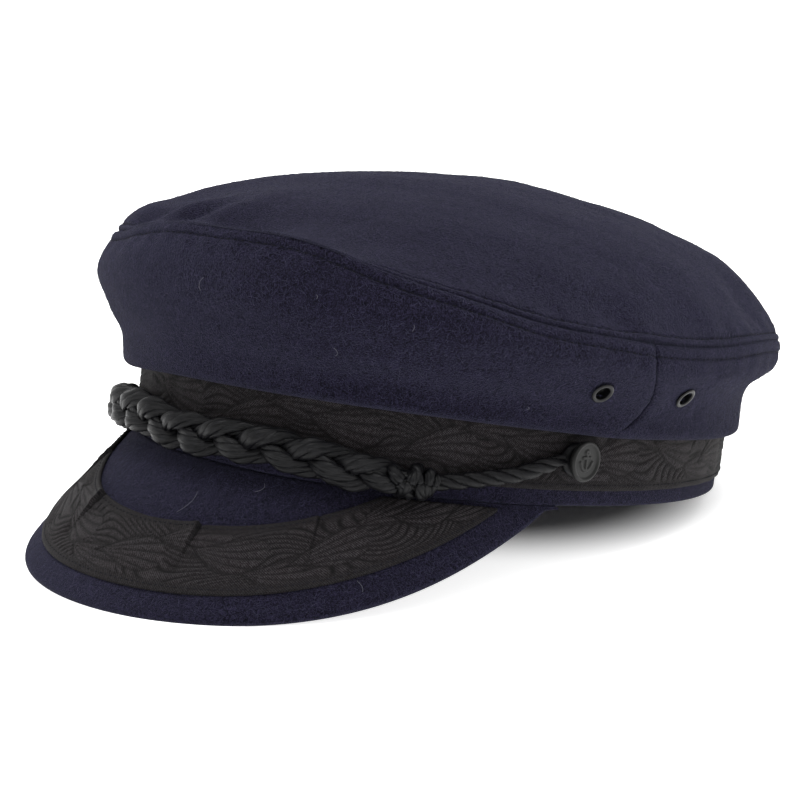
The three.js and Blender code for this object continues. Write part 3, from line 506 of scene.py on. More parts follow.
def crown_top(material):
    turns = np.linspace(-180, 180, TOP_COLUMNS)[:-1]
    shares, distance = rows_at(lambda share: dome_points(turns, 1 - share), NEAR_SEAM, TOP_ROWS)
    reach = np.maximum(1 - shares, TOP_MIDDLE)
    points = dome_points(turns, reach)
    normals = surface_normals(points, True)
    height = seam_relief(distance, STITCHES_ABOVE_SEAM)
    height += TOP_UNEVENNESS * smoothstep(0, 6, distance) * unevenness(points)
    height += round_waves(turns, *TOP_WAVES) * bump((distance - TOP_WAVES_AWAY) / WAVES_HALF)
    outer = points + normals * height[..., None]
    shade = seam_shade(distance, STITCHES_ABOVE_SEAM)
    key = crown_keys(turns)
    rim = oval(turns, key["seam_out"] * CROWN_OVERHANG - MITRE - MITRE_SHIFT,
               BAND_HEIGHT + key["seam_rise"] * CROWN_RISE - MITRE + MITRE_SHIFT)[None]
    inside_rows = list(range(len(NEAR_SEAM), len(points), TOP_INNER_STEP)) + [len(points) - 1]
    inner = (points - normals * CROWN_WALL)[inside_rows]
    whole = np.concatenate([outer[::-1], rim, inner])
    rows, columns = whole.shape[:2]
    shades = np.ones((rows, columns))
    shades[:len(outer)] = shade[::-1]
    faces = grid_faces(rows, columns, close_columns=True).tolist()
    faces.append(list(range(columns))[::-1])
    faces.append([(rows - 1) * columns + column for column in range(columns)])
    new_piece("cap_top", whole.reshape(-1, 3), faces, material, ["crown_top"], shades)
    return outer, distance


# Fibres of the wool: how many lie on each face, ranges of their length and of how far they lift off
# the cloth, and the spread of their bends, in millimetres; then their half thickness, slim at both
# ends, and places along them
FIBRE_COUNTS = {"top": 4400, "front": 2800, "rear": 2800, "peak": 2300}
FIBRE_LENGTHS = (0.9, 2.8)
FIBRE_LIFTS = (0.02, 0.22)
FIBRE_BEND = 0.35
FIBRE_OFF_CLOTH = 0.02
FIBRE_THICKNESS = 0.042
FIBRE_SLIMNESS = np.array([0.5, 1, 0.5])
FIBRE_TIMES = np.linspace(0, 1, 3)


def wool_fibres(name, grid, normals, count, material, seed):
    """Short curved fibres strewn evenly over a grid of points, each arched a little off the cloth."""
    random = np.random.default_rng(seed)
    down = grid[2:, 1:-1] - grid[:-2, 1:-1]
    across = grid[1:-1, 2:] - grid[1:-1, :-2]
    cells = np.linalg.norm(np.cross(down, across), axis=-1)
    picked = random.choice(cells.size, count, p=cells.ravel() / cells.sum())
    start = grid[1:-1, 1:-1].reshape(-1, 3)[picked]
    normal = normals[1:-1, 1:-1].reshape(-1, 3)[picked]
    forward = random.normal(size=(count, 3))
    forward -= np.sum(forward * normal, -1, keepdims=True) * normal
    forward /= np.linalg.norm(forward, axis=-1, keepdims=True)
    sideways = np.cross(normal, forward)
    length = random.uniform(*FIBRE_LENGTHS, (count, 1, 1))
    bend = random.normal(0, FIBRE_BEND, (count, 1, 1))
    lift = random.uniform(*FIBRE_LIFTS, (count, 1, 1))
    along = FIBRE_TIMES[None, :, None]
    path = start[:, None] + length * (along * forward[:, None] + bend * along**2 * sideways[:, None])
    path += (lift * np.sin(math.pi * (0.1 + 0.8 * along)) + FIBRE_OFF_CLOTH) * normal[:, None]
    corners = [sideways, -0.5 * sideways + 0.87 * normal, -0.5 * sideways - 0.87 * normal]
    slim = FIBRE_THICKNESS * FIBRE_SLIMNESS[None, :, None, None]
    rings = path[:, :, None] + slim * np.stack(corners, 1)[:, None]
    base = closed_tube(rings[0], 0)
    step = rings[0].shape[0] * rings[0].shape[1]
    faces = [[corner + step * fibre for corner in face] for fibre in range(count) for face in base]
    new_piece(name, rings.reshape(-1, 3), faces, material)


# Pale hairs and flecks caught on the wool: three places each, as turn and drop on the crown's side,
# and as turn and distance on the peak
LINT_ON_SIDE = (((7.9, 0.255), (7.1, 0.29), (7.3, 0.325)), ((42.4, 0.27), (42.5, 0.29), (42.3, 0.31)),
                ((63.6, 0.81), (63.9, 0.83), (63.5, 0.85)), ((27.4, 0.22), (27.6, 0.23), (27.5, 0.24)),
                ((30.6, 0.5), (31.2, 0.53), (30.9, 0.56)))
LINT_ON_PEAK = (((6, 21), (7.3, 16), (7, 12)), ((18, 7.4), (19.3, 5.6), (19, 3.7)),
                ((39, 30.7), (39.9, 32.4), (40, 34)))
LINT_THICKNESS = 0.055
LINT_OFF_CLOTH = 0.25
LINT_POINTS = 9
LINT_SIDES = 5


def lint_tubes(hairs, point_of):
    """A thin tube through the three places of each hair."""
    tubes = []
    t = np.linspace(0, 1, LINT_POINTS)[:, None]
    for first, middle, last in np.array(hairs, float):
        way = first * (1 - t) * (1 - 2 * t) + middle * 4 * t * (1 - t) + last * t * (2 * t - 1)
        path = np.array([point_of(turn, place_on) for turn, place_on in way])
        outward = band_axes(middle[0])[2]
        tubes.append(tube_points(path, outward, LINT_THICKNESS, LINT_THICKNESS, LINT_SIDES))
    return tubes


def lint(material):
    def on_side(turn, drop):
        centre, axes = crown_axes(turn, drop)
        return centre + LINT_OFF_CLOTH * axes[2]

    tubes = lint_tubes(LINT_ON_SIDE, on_side)
    tubes += lint_tubes(LINT_ON_PEAK, lambda turn, distance: peak_place(turn, distance, -LINT_OFF_CLOTH))
    tube_piece("lint", tubes, material)


# Tubes and stitches


def tube_points(path, outward, wide, deep, sides, phase=0.0, ridges=0, ridge=0.0):
    """Rings round a path. "wide" lies across the path and "deep" along the outward direction."""
    tangent = np.gradient(path, axis=0)
    tangent /= np.linalg.norm(tangent, axis=-1, keepdims=True)
    side = np.cross(tangent, outward)
    side /= np.linalg.norm(side, axis=-1, keepdims=True)
    up = np.cross(side, tangent)
    angle = np.linspace(0, 2 * math.pi, sides, endpoint=False)[None, :]
    twist = np.asarray(phase, float).reshape(-1, 1)
    swell = 1 + ridge * np.cos(ridges * (angle + twist))
    across = (np.asarray(wide, float).reshape(-1, 1) * swell * np.cos(angle))[..., None]
    away = (np.asarray(deep, float).reshape(-1, 1) * swell * np.sin(angle))[..., None]
    return path[:, None] + across * side[:, None] + away * up[:, None]


def closed_tube(rings, start):
    """Faces of a tube of rings, with a flat end at each side."""
    count, sides = rings.shape[:2]
    faces = grid_faces(count, sides, close_columns=True, start=start).tolist()
    faces.append([start + side for side in range(sides)][::-1])
    faces.append([start + (count - 1) * sides + side for side in range(sides)])
    return faces


# Places along a strand are shortened by this share, which draws its filaments out into streaks
STREAK = 0.12
# Bundles in a strand: how many, how far they lie off its middle and how thick they are as shares of
# its thickness, how much that thickness varies and how often, and the ridges of each
BUNDLES = 5
BUNDLE_OFFSET = 0.52
BUNDLE_SIZE = 0.48
BUNDLE_UNEVENNESS = 0.12
BUNDLE_PACE = 1.7
BUNDLE_SHIFT = 2.4
BUNDLE_RIDGES = 3
BUNDLE_RIDGE = 0.1


def tube_piece(name, tubes, material, replaced=None):
    """One piece of closed tubes, with the place of each point along its strand and round it."""
    points = []
    faces = []
    cloth = []
    count = 0
    for rings in tubes:
        faces += closed_tube(rings, count)
        points.append(rings.reshape(-1, 3))
        count += rings.shape[0] * rings.shape[1]
        along = STREAK * lengths_along(rings.mean(1))[:, None] + len(cloth)
        angle = np.linspace(0, 2 * math.pi, rings.shape[1], endpoint=False)[None, :]
        round_it = np.stack(np.broadcast_arrays(along, np.cos(angle), np.sin(angle)), -1)
        cloth.append(round_it.reshape(-1, 3))
    new_piece(name, np.concatenate(points), faces, material, replaced, cloth=np.concatenate(cloth))


def twisted(path, outward, wide, deep, phase, sides):
    """A strand of bundles of filaments that twist slowly about each other."""
    across = np.cross(np.gradient(path, axis=0), outward)
    across /= np.linalg.norm(across, axis=-1, keepdims=True)
    tubes = []
    for bundle in range(BUNDLES):
        angle = np.broadcast_to(phase + 2 * math.pi * bundle / BUNDLES, len(path))[:, None]
        offset = BUNDLE_OFFSET * (np.reshape(wide, (-1, 1)) * np.cos(angle) * across
                                  + np.reshape(deep, (-1, 1)) * np.sin(angle) * outward)
        swell = 1 + BUNDLE_UNEVENNESS * np.sin(BUNDLE_PACE * np.asarray(phase) + BUNDLE_SHIFT * bundle)
        size = BUNDLE_SIZE * swell
        tubes.append(tube_points(path + offset, outward, size * wide, size * deep, sides, phase + bundle,
                                 BUNDLE_RIDGES, BUNDLE_RIDGE))
    return tubes


# Stitches: pitch and length on the seams and on the ribbons; half thickness; how deep their middle
# lies; height and half thickness at five places along each, as shares of the half thickness
SEAM_STITCHES = (2.6, 1.8)
RIBBON_STITCHES = (2.1, 1.4)
STITCH_RADIUS = 0.17
STITCH_SUNK = 0.04
STITCH_ARCH = np.array([-1.0, 0.3, 1.0, 0.3, -1.0])
STITCH_SLIMNESS = np.array([0.5, 0.9, 1.05, 0.9, 0.5])
STITCH_SIDES = 5


def stitch_tubes(line, normals, pitch, length, closed=False):
    """A row of stitches along a line on cloth: each rises out of the cloth and dives back into it."""
    if closed:
        line = np.concatenate([line, line[:1]])
        normals = np.concatenate([normals, normals[:1]])
    away = lengths_along(line)
    count = int(away[-1] / pitch)
    tubes = []
    for i in range(count):
        at = (i + 0.5) * away[-1] / count + np.linspace(-length / 2, length / 2, len(STITCH_ARCH))
        path = np.stack([np.interp(at, away, line[:, axis]) for axis in range(3)], -1)
        normal = np.stack([np.interp(at, away, normals[:, axis]) for axis in range(3)], -1)
        path += normal * (STITCH_RADIUS * STITCH_ARCH - STITCH_SUNK)[:, None]
        slim = STITCH_RADIUS * STITCH_SLIMNESS
        tubes.append(tube_points(path, normal, slim, slim, STITCH_SIDES))
    return tubes


def seam_stitches(name, grid, away, distance, closed, material):
    """A row of stitches along the row of a grid that lies at a distance from the top seam."""
    row = np.argmin(abs(away[:, 0] - distance))
    normals = surface_normals(grid, closed)
    tube_piece(name, stitch_tubes(grid[row], normals[row], *SEAM_STITCHES, closed), material)


# Band and ribbons

# Woven ribbon in millimetres: its relief, how dark painted shade leaves its deepest places, how deep its
# edges sink and how fast, and where its stitches run, from its edge
RELIEF = 0.38
EDGE_DIPS = ((0.45, 0.35),)
DEEP_SHADE = 0.04
STITCHES_ON_BAND = 1.6
STITCHES_ON_PEAK = 1.7

# Its pattern: length of one winding of the stem, a leaf's length and spread, pitch and strength of the
# flowing lines, plain edge, the stem's sway as a share of the width, and the flowing lines' swirls as
# size, millimetres along the ribbon for a radian, radians for a millimetre across it, and shift
LEAF_PERIOD = 62
LEAF_LENGTH = 27
LEAF_SPREAD = math.radians(46)
LINE_PITCH = 2.0
LINE_SHARPNESS = 3
LINE_STRENGTH = 0.9
SELVEDGE = 2.9
STEM_SWAY = 0.25
SWIRLS = ((1.6, 7.3, 0.35, 0), (1.1, 12.1, -0.28, 1.7))
# Leaves: side of the stem and place along it; then lean and shift of each of the pair there
LEAF_PLACES = ((1, 0.27), (-1, 0.77))
LEAF_PAIR = ((0.5, 0), (-0.75, 0.21))
LEAF_ROOT = 0.18
LEAF_ROUNDNESS = 0.55
# How much a leaf's lean turns it at its root, in radians, and bends it, in radians per millimetre
LEAF_TURN = 0.5
LEAF_BEND = 0.012
RIB_TURN = math.radians(8.5)
RIB_SHARPNESS = 3.6
RIB_CURVE = 0.35
RIB_FLOOR = 0.25
OUTLINE_HALF = 0.55


def groove(phase, sharpness):
    """0 on a line and near 1 between lines, for a phase that grows by 1 from line to line."""
    return 1 - (0.5 + 0.5 * np.cos(2 * math.pi * phase)) ** sharpness


def woven_leaves(u, v, width):
    """Relief of the ribbon from 0 to 1, by millimetres along it and across it: a winding stem with
    flowing lines beside it and a fan of ribs in each leaf."""
    v = v - width / 2
    stem = STEM_SWAY * width * np.sin(2 * math.pi * u / LEAF_PERIOD)
    slant = STEM_SWAY * width * 2 * math.pi / LEAF_PERIOD * np.cos(2 * math.pi * u / LEAF_PERIOD)
    beside = (v - stem) / np.sqrt(1 + slant**2)
    swirl = sum(size * np.sin(u / stretch + pace * v + phase) for size, stretch, pace, phase in SWIRLS)
    relief = groove((beside + swirl) / LINE_PITCH, LINE_SHARPNESS) * LINE_STRENGTH
    for side, offset in LEAF_PLACES:
        for lean, shift in LEAF_PAIR:
            along = ((u / LEAF_PERIOD - offset - shift + 0.5) % 1 - 0.5) * LEAF_PERIOD + LEAF_LENGTH / 2
            across = -side * v - LEAF_ROOT * width
            far = np.hypot(along, across)
            angle = np.arctan2(across, along) - LEAF_TURN * lean + LEAF_BEND * lean * far
            reach = far / LEAF_LENGTH
            half = LEAF_SPREAD / 2 * np.sin(math.pi * np.clip(reach, 0, 1)) ** LEAF_ROUNDNESS
            inside = smoothstep(-0.06, 0.05, half - abs(angle)) * smoothstep(1.0, 0.93, reach)
            ribs = RIB_FLOOR + (1 - RIB_FLOOR) * groove(angle / RIB_TURN + RIB_CURVE * reach, RIB_SHARPNESS)
            outline = 1 - bump((half - abs(angle)) * far / OUTLINE_HALF)
            relief = relief * (1 - inside) + inside * ribs * outline
    edge = np.minimum(v + width / 2, width / 2 - v)
    flat = smoothstep(SELVEDGE - 0.5, SELVEDGE + 0.7, edge)
    return 0.5 + (relief - 0.5) * flat, edge


BAND_COLUMNS = 241
BAND_CORNER = 1.2
# How far the band's lower edge sinks to meet the peak
BAND_SINK = SEAM_GAP + 0.05


def headband(material):
    turns = np.linspace(-180, 180, BAND_COLUMNS)[:-1]
    corner = BAND_CORNER
    quarter = np.radians(np.linspace(0, 90, 6))
    lower_outer = [(corner * (np.sin(a) - 1), corner * (1 - np.cos(a))) for a in quarter]
    lower_inner = [(-BAND_WALL - corner * (np.cos(a) - 1), corner * (1 - np.sin(a))) for a in quarter]
    sides = np.linspace(corner, BAND_HEIGHT, 16)[1:]
    outline = lower_outer + [(0, z) for z in sides] + [(-BAND_WALL, z) for z in sides[::-1]] + lower_inner
    points = np.stack([oval(turns, out, z) for out, z in outline])
    over_peak = smoothstep(PEAK_END_TURN + 2, PEAK_END_TURN - 2, abs(turns))
    points[..., 2] -= BAND_SINK * over_peak * bump(points[..., 2] / 2)
    faces = grid_faces(len(outline), len(turns), close_rows=True, close_columns=True)
    new_piece("head_band", points.reshape(-1, 3), faces, material, ["headband"],
              np.ones(points.shape[:2]))


def ribbon_piece(name, replaced, outer, normals, weave, material, close_columns):
    """A ribbon of its thickness from its outer face. The weave holds its relief in millimetres, its
    shade, and the places along and across it."""
    height, shade, along, across = np.broadcast_arrays(*weave)
    top = outer + normals * height[..., None]
    under = (outer - normals * RIBBON_THICKNESS)[[-1, len(outer) // 2, 0]]
    whole = np.concatenate([top, under])
    rows, columns = whole.shape[:2]
    faces = (grid_faces(rows, columns, close_rows=True, close_columns=True) if close_columns
             else band_faces(rows, columns))
    under_rows = [-1, rows // 2 - 2, 0]
    shades = np.concatenate([shade, shade[under_rows]])
    place_on = np.stack([along, across, 0 * along], -1)
    cloth = np.concatenate([place_on, place_on[under_rows]])
    new_piece(name, whole.reshape(-1, 3), faces, material, [replaced], shades, cloth)


BAND_RIBBON_COLUMNS = 1201
BAND_RIBBON_ROWS = 54
BAND_PATTERN_SHIFT = 9
# Its waves round the cap: height, pace, wander and its pace
BAND_RIBBON_WAVES = (0.12, 0.8, 2, 0.09)
STITCHES_BELOW_FACE = 0.1


def band_ribbon(material):
    """The band's ribbon. Returns a line and its normals for its row of stitches."""
    turns = np.linspace(-180, 180, BAND_RIBBON_COLUMNS)[:-1]
    top = BAND_HEIGHT - WOOL_ABOVE_RIBBON
    width = top - WOOL_BELOW_RIBBON
    across = np.linspace(0, width, BAND_RIBBON_ROWS)[:, None]
    outer = oval(turns, SEAM_GAP + RIBBON_THICKNESS, WOOL_BELOW_RIBBON + across)
    normals = surface_normals(outer, True)
    rounds = round(oval_length(180) * 2 / LEAF_PERIOD)
    along = oval_length(turns) * rounds * LEAF_PERIOD / (oval_length(180) * 2)
    woven, edge = woven_leaves(along[None, :] + BAND_PATTERN_SHIFT, across, width)
    height = RELIEF * (woven - 1) + round_waves(turns, *BAND_RIBBON_WAVES) - dips(edge, EDGE_DIPS)
    # Painted shade, darkest in the grooves of the woven relief
    shade = DEEP_SHADE + (1 - DEEP_SHADE) * woven
    weave = (height, shade, oval_length(turns)[None, :], across)
    ribbon_piece("ribbon_on_band", "band_ribbon", outer, normals, weave, material, True)
    row = np.argmin(abs(across[:, 0] - STITCHES_ON_BAND))
    return [(outer[row] - STITCHES_BELOW_FACE * normals[row], normals[row])]


# Peak


def peak_length(turn):
    share = np.minimum(abs(np.asarray(turn, float)) / PEAK_END_TURN, 1)
    return np.maximum(PEAK_LENGTH * (1 - share**2) ** PEAK_TAPER, PEAK_NUB)


def peak_place(turn, distance, depth):
    """A place in the peak: distance from the band along its upper face, depth below that face."""
    share = np.minimum(abs(np.asarray(turn, float)) / PEAK_END_TURN, 1)
    slope = PEAK_FRONT_SLOPE + (PEAK_SIDE_SLOPE - PEAK_FRONT_SLOPE) * np.sin(share * math.pi / 2) ** 2
    start = np.radians(slope - PEAK_CURL / 2)
    curl = math.radians(PEAK_CURL) / peak_length(turn)
    here = start + curl * distance
    out = (np.sin(here) - np.sin(start)) / curl - depth * np.sin(here)
    drop = (np.cos(start) - np.cos(here)) / curl + depth * np.cos(here)
    return oval(turn, out, -SEAM_GAP - drop)


PEAK_COLUMNS = 301
PEAK_ROWS = 56
# Thickness of the peak's ends as a share of the full one, and the turns over which it grows
PEAK_END_THINNESS = 0.12
PEAK_THINNING = 7


def peak(material):
    """The peak's wool. Returns its upper face."""
    turns = np.linspace(-PEAK_END_TURN, PEAK_END_TURN, PEAK_COLUMNS)
    half = PEAK_THICKNESS / 2
    edge = peak_length(turns) - half
    rim = np.radians(np.linspace(-90, 90, 15))[1:-1]
    fullness = smoothstep(0, PEAK_THINNING, PEAK_END_TURN - abs(turns))
    thin = PEAK_END_THINNESS + (1 - PEAK_END_THINNESS) * fullness
    depth = PEAK_THICKNESS * thin
    under = [peak_place(turns, edge * share, depth) for share in np.linspace(0.12, 1, 16)]
    half_here = half * thin
    round_rim = [peak_place(turns, edge + half_here * np.cos(a), half_here * (1 - np.sin(a))) for a in rim]
    over = np.stack([peak_place(turns, edge * share, 0) for share in np.linspace(1, 0, PEAK_ROWS)])
    fading = smoothstep(0, 0.15, np.linspace(0, 1, PEAK_ROWS))[:, None]
    over += surface_normals(over, False) * (PEAK_UNEVENNESS * unevenness(over) * fading)[..., None]
    ends = [oval(turns, -BAND_WALL, -SEAM_GAP), oval(turns, -BAND_WALL, -SEAM_GAP - depth)]
    points = np.concatenate([np.stack(ends + under + round_rim), over])
    rows, columns = points.shape[:2]
    new_piece("cap_peak", points.reshape(-1, 3), band_faces(rows, columns), material, ["peak"],
              np.ones((rows, columns)))
    return over


PEAK_RIBBON_END_TURN = 62.3
# Pleats of the peak's ribbon: turn, height in millimetres and reach as a share of the width
PLEATS = ((-50, 1.2, 0.6), (-32, 1.1, 0.6), (-13, 1.6, 0.62), (12, 1.7, 0.66), (31, 0.6, 0.7))
# Millimetres over which a pleat swells, by a factor of e
PLEAT_SWELL = 5.5


def pleat_relief(turns, away, share):
    """Height of the ribbon at its pleats, where it swells up to a tuck and drops behind it, and the painted
    shade in its tuck and in the dimple at its end, from 0 to 1. "away" is the length of one turn."""
    height = np.zeros(np.broadcast(turns, share).shape)
    slit_shade = np.zeros_like(height)
    for turn, rise, reach in PLEATS:
        past = (turns - turn) * away
        strength = 1 - smoothstep(0, reach, share)
        swell = np.where(past < 0, np.exp(past / PLEAT_SWELL), 0) * smoothstep(0.35, -0.1, past)
        behind = bump((past - 0.5) / 0.7)
        height += strength * (1.25 * rise * swell - 0.5 * behind)
        height -= 0.5 * rise * bump(past / 3.5) * bump((share - reach) / 0.1)
        slit_shade += strength**0.5 * bump((past - 0.35) / 0.42)
        slit_shade += 0.55 * bump(past / 1.6) * bump((share - reach) / 0.08)
    return height, np.clip(slit_shade, 0, 1)


PEAK_RIBBON_COLUMNS = 761
PEAK_RIBBON_ROWS = 60
# How much nearer the rim the ribbon lies in front, and the turns between which it gets there
PEAK_RIBBON_FRONT = 2.2
PEAK_RIBBON_FRONT_TURNS = (48, 14)
PEAK_PATTERN_SHIFT = 23
PEAK_RIBBON_UNEVENNESS = 0.3


def peak_ribbon(material):
    """The peak's ribbon. Returns a line and its normals for each of its rows of stitches."""
    turns = np.linspace(-PEAK_RIBBON_END_TURN, PEAK_RIBBON_END_TURN, PEAK_RIBBON_COLUMNS)
    forward = PEAK_RIBBON_FRONT * smoothstep(*PEAK_RIBBON_FRONT_TURNS, abs(turns))
    last = peak_length(turns) - PEAK_RIBBON_INSET + forward
    first = np.maximum(last - PEAK_RIBBON_WIDTH, 2 * SEAM_GAP + RIBBON_THICKNESS)
    share = np.linspace(0, 1, PEAK_RIBBON_ROWS)[:, None]
    distance = first + (last - first) * share
    outer = peak_place(turns, distance, -SEAM_GAP - RIBBON_THICKNESS)
    normals = surface_normals(outer, False)
    across = last - distance
    away = np.linalg.norm(np.diff(outer, axis=1), axis=-1).mean() / (turns[1] - turns[0])
    woven, _ = woven_leaves(turns[None, :] * away + PEAK_PATTERN_SHIFT, across, PEAK_RIBBON_WIDTH)
    edge = np.minimum(across, distance - first)
    pleats, slit_shade = pleat_relief(turns[None, :], away, share)
    height = RELIEF * (woven - 1) + pleats - dips(edge, EDGE_DIPS)
    height += PEAK_RIBBON_UNEVENNESS * unevenness(outer * 2)
    # Painted shade in the weave's grooves and in the pleats' tucks
    shade = (DEEP_SHADE + (1 - DEEP_SHADE) * woven) * (1 - 0.9 * slit_shade)
    weave = (height, shade, turns[None, :] * away, across)
    ribbon_piece("ribbon_on_peak", "peak_ribbon", outer, normals, weave, material, False)
    rows = []
    surface = outer + normals * height[..., None]
    for inset in (STITCHES_ON_PEAK, PEAK_RIBBON_WIDTH - STITCHES_ON_PEAK):
        row = np.argmin(abs(across - inset), axis=0)
        columns = np.arange(len(turns))[(last - first) > inset + 1]
        rows.append((surface[row[columns], columns], normals[row[columns], columns]))
    return rows


# Cord

PLAIT_RISE = 8.79
PLAIT_ROUTE = ((0, 0.93), (0.28, 1), (0.51, 1), (0.74, 0.86), (0.9, 0.67), (1, 0.57), (1.2, 0.54))
PLAIT_END_TURN = 43
PLAITS = 3
STRAND_WIDE = 3.0
STRAND_DEEP = 2.15
PLAIT_HALF_HEIGHT = 6.6
PLAIT_HALF_DEPTH = 4.5
PLAIT_END_SLIMNESS = 0.35
PLAIT_END_SHARE = 0.09
# How far the strands run on into each knot, as a share of the plait's length
IN_KNOT = 0.025
KNOT_START_TURN = 43.54
ROPE_START_TURN = 49.0
ROPE_RADIUS = 2.6
ROPE_PITCH = 18
ROPE_ROUTE = ((0, 0), (0.17, 0.1), (0.35, 0.24), (0.51, 0.36), (0.67, 0.51), (0.79, 0.72), (1, 1))
BUTTON_TURN = 75.6
BUTTON_HEIGHT = 15.2
# How far the rope pulls the button round, in degrees
BUTTON_YAW = 14
# Size of the button's face as a share of the solid's
BUTTON_SIZE = 0.9


# Strands of the plait: points along each, sides of a bundle, their size at the ends, what it gains
# in the middle and at each crossing, the twist of their bundles, and their unevenness as size, pace
# and shift from strand to strand
PLAIT_POINTS = 251
PLAIT_SIDES = 12
STRAND_LEAST = 0.72
STRAND_GAIN = 0.26
STRAND_CROSSING = 0.1
PLAIT_TWIST = 1.9
PLAIT_UNEVENNESS = ((0.08, 37, 2.1), (0.05, 83, 1))


def plait_height(turn):
    share = abs(np.asarray(turn, float)) / PLAIT_END_TURN
    return PLAIT_RISE * np.interp(share, *zip(*PLAIT_ROUTE))


def plait(material):
    share = np.linspace(-IN_KNOT, 1 + IN_KNOT, PLAIT_POINTS)
    turns = -PLAIT_END_TURN + 2 * PLAIT_END_TURN * share
    from_end = np.clip((np.minimum(share, 1 - share) + IN_KNOT) / PLAIT_END_SHARE, 0, 1)
    fullness = PLAIT_END_SLIMNESS + (1 - PLAIT_END_SLIMNESS) * from_end
    tubes = []
    for strand in range(3):
        phase = 2 * math.pi * (strand / 3 + PLAITS * share)
        uneven = 1 + sum(size * np.sin(pace * share + shift * strand)
                         for size, pace, shift in PLAIT_UNEVENNESS)
        out = HEM_INNER + PLAIT_HALF_DEPTH + fullness * (PLAIT_HALF_DEPTH - STRAND_DEEP) * np.sin(2 * phase)
        sway = fullness * (PLAIT_HALF_HEIGHT - STRAND_WIDE) * np.sin(phase) * uneven
        path = oval(turns, out, plait_height(turns) + sway)
        outward = oval(turns, 1, 0) - oval(turns, 0, 0)
        size = uneven * (STRAND_LEAST + STRAND_GAIN * fullness + STRAND_CROSSING * np.sin(2 * phase))
        tubes += twisted(path, outward, STRAND_WIDE * size, STRAND_DEEP * size,
                         PLAIT_TWIST * phase + strand, PLAIT_SIDES)
    tube_piece("plait", tubes, material, ["braid"])


# Loops of the knot: place along it in degrees of turn, lean against upright in degrees, half height,
# half depth and half thickness of the strand
KNOT_LOOPS = ((0.4, -42, 4.9, 3.4, 2.0), (1.9, 30, 4.8, 3.4, 1.9), (3.5, -16, 4.3, 3.2, 1.7),
              (4.9, 10, 3.9, 3.0, 1.5), (6.1, 18, 3.0, 2.5, 1.2))


KNOT_POINTS = 45
KNOT_SIDES = 10
# How far the loops' middle lies off the ribbon, how much they swell, how flat and how twisted they are
KNOT_OUT = 4.4
KNOT_SWELL = 0.06
KNOT_FLATNESS = 0.85
KNOT_TWIST = 1.3
# The cord within the loops: its distance off the ribbon, turns from the knot's start, half width and
# depth, points, and how much it narrows to its end
KNOT_CORE_OUT = 4.2
KNOT_CORE_TURNS = (-1.2, 5.8)
KNOT_CORE_WIDE = 3.4
KNOT_CORE_DEEP = 3.0
KNOT_CORE_POINTS = 40
KNOT_CORE_SIDES = 20
KNOT_CORE_NARROWING = 0.35


def knot(name, side, material):
    """Loops of the cord drawn tight round the plait's end."""
    ring = np.linspace(0, 2 * math.pi, KNOT_POINTS)
    tubes = []
    for turn, lean, half_height, half_depth, thick in KNOT_LOOPS:
        at = side * (KNOT_START_TURN + turn)
        along, up, outward = band_axes(at)
        tilt = math.radians(lean) * side
        high = (math.cos(tilt) * up + math.sin(tilt) * along) * half_height
        swell = 1 + KNOT_SWELL * np.sin(3 * ring + turn)
        away = np.cos(ring)[:, None] * outward * half_depth + np.sin(ring)[:, None] * high
        path = oval(at, HEM_INNER + KNOT_OUT, plait_height(at)) + swell[:, None] * away
        radial = away / np.linalg.norm(away, axis=-1, keepdims=True)
        tubes += twisted(path, radial, thick * swell, KNOT_FLATNESS * thick * swell, KNOT_TWIST * ring,
                         KNOT_SIDES)
    turns = side * (KNOT_START_TURN + np.linspace(*KNOT_CORE_TURNS, KNOT_CORE_POINTS))
    middle = oval(turns, HEM_INNER + KNOT_CORE_OUT, plait_height(turns))
    slim = 1 - KNOT_CORE_NARROWING * smoothstep(0.6, 1, np.linspace(0, 1, KNOT_CORE_POINTS))
    tubes.append(tube_points(middle, band_axes(turns[KNOT_CORE_POINTS // 2])[2], KNOT_CORE_WIDE * slim,
                             KNOT_CORE_DEEP * slim, KNOT_CORE_SIDES))
    tube_piece(name + "_cord", tubes, material, [name])


ROPE_POINTS = 121
ROPE_SIDES = 24
# Its strands: how far each lies off its middle, half width and depth, ridges and their height
ROPE_OFFSET = 1.28
ROPE_STRAND_WIDE = 1.42
ROPE_STRAND_DEEP = 1.3
ROPE_RIDGES = 6
ROPE_RIDGE = 0.07
# Its eye round the shank: turns before the button at which it starts, radius, half thickness, height
# over the band
EYE_TURN = 2.2
EYE_RADIUS = 3.6
EYE_THICKNESS = 1.7
EYE_OUT = 1.7
EYE_POINTS = 49
EYE_SIDES = 16


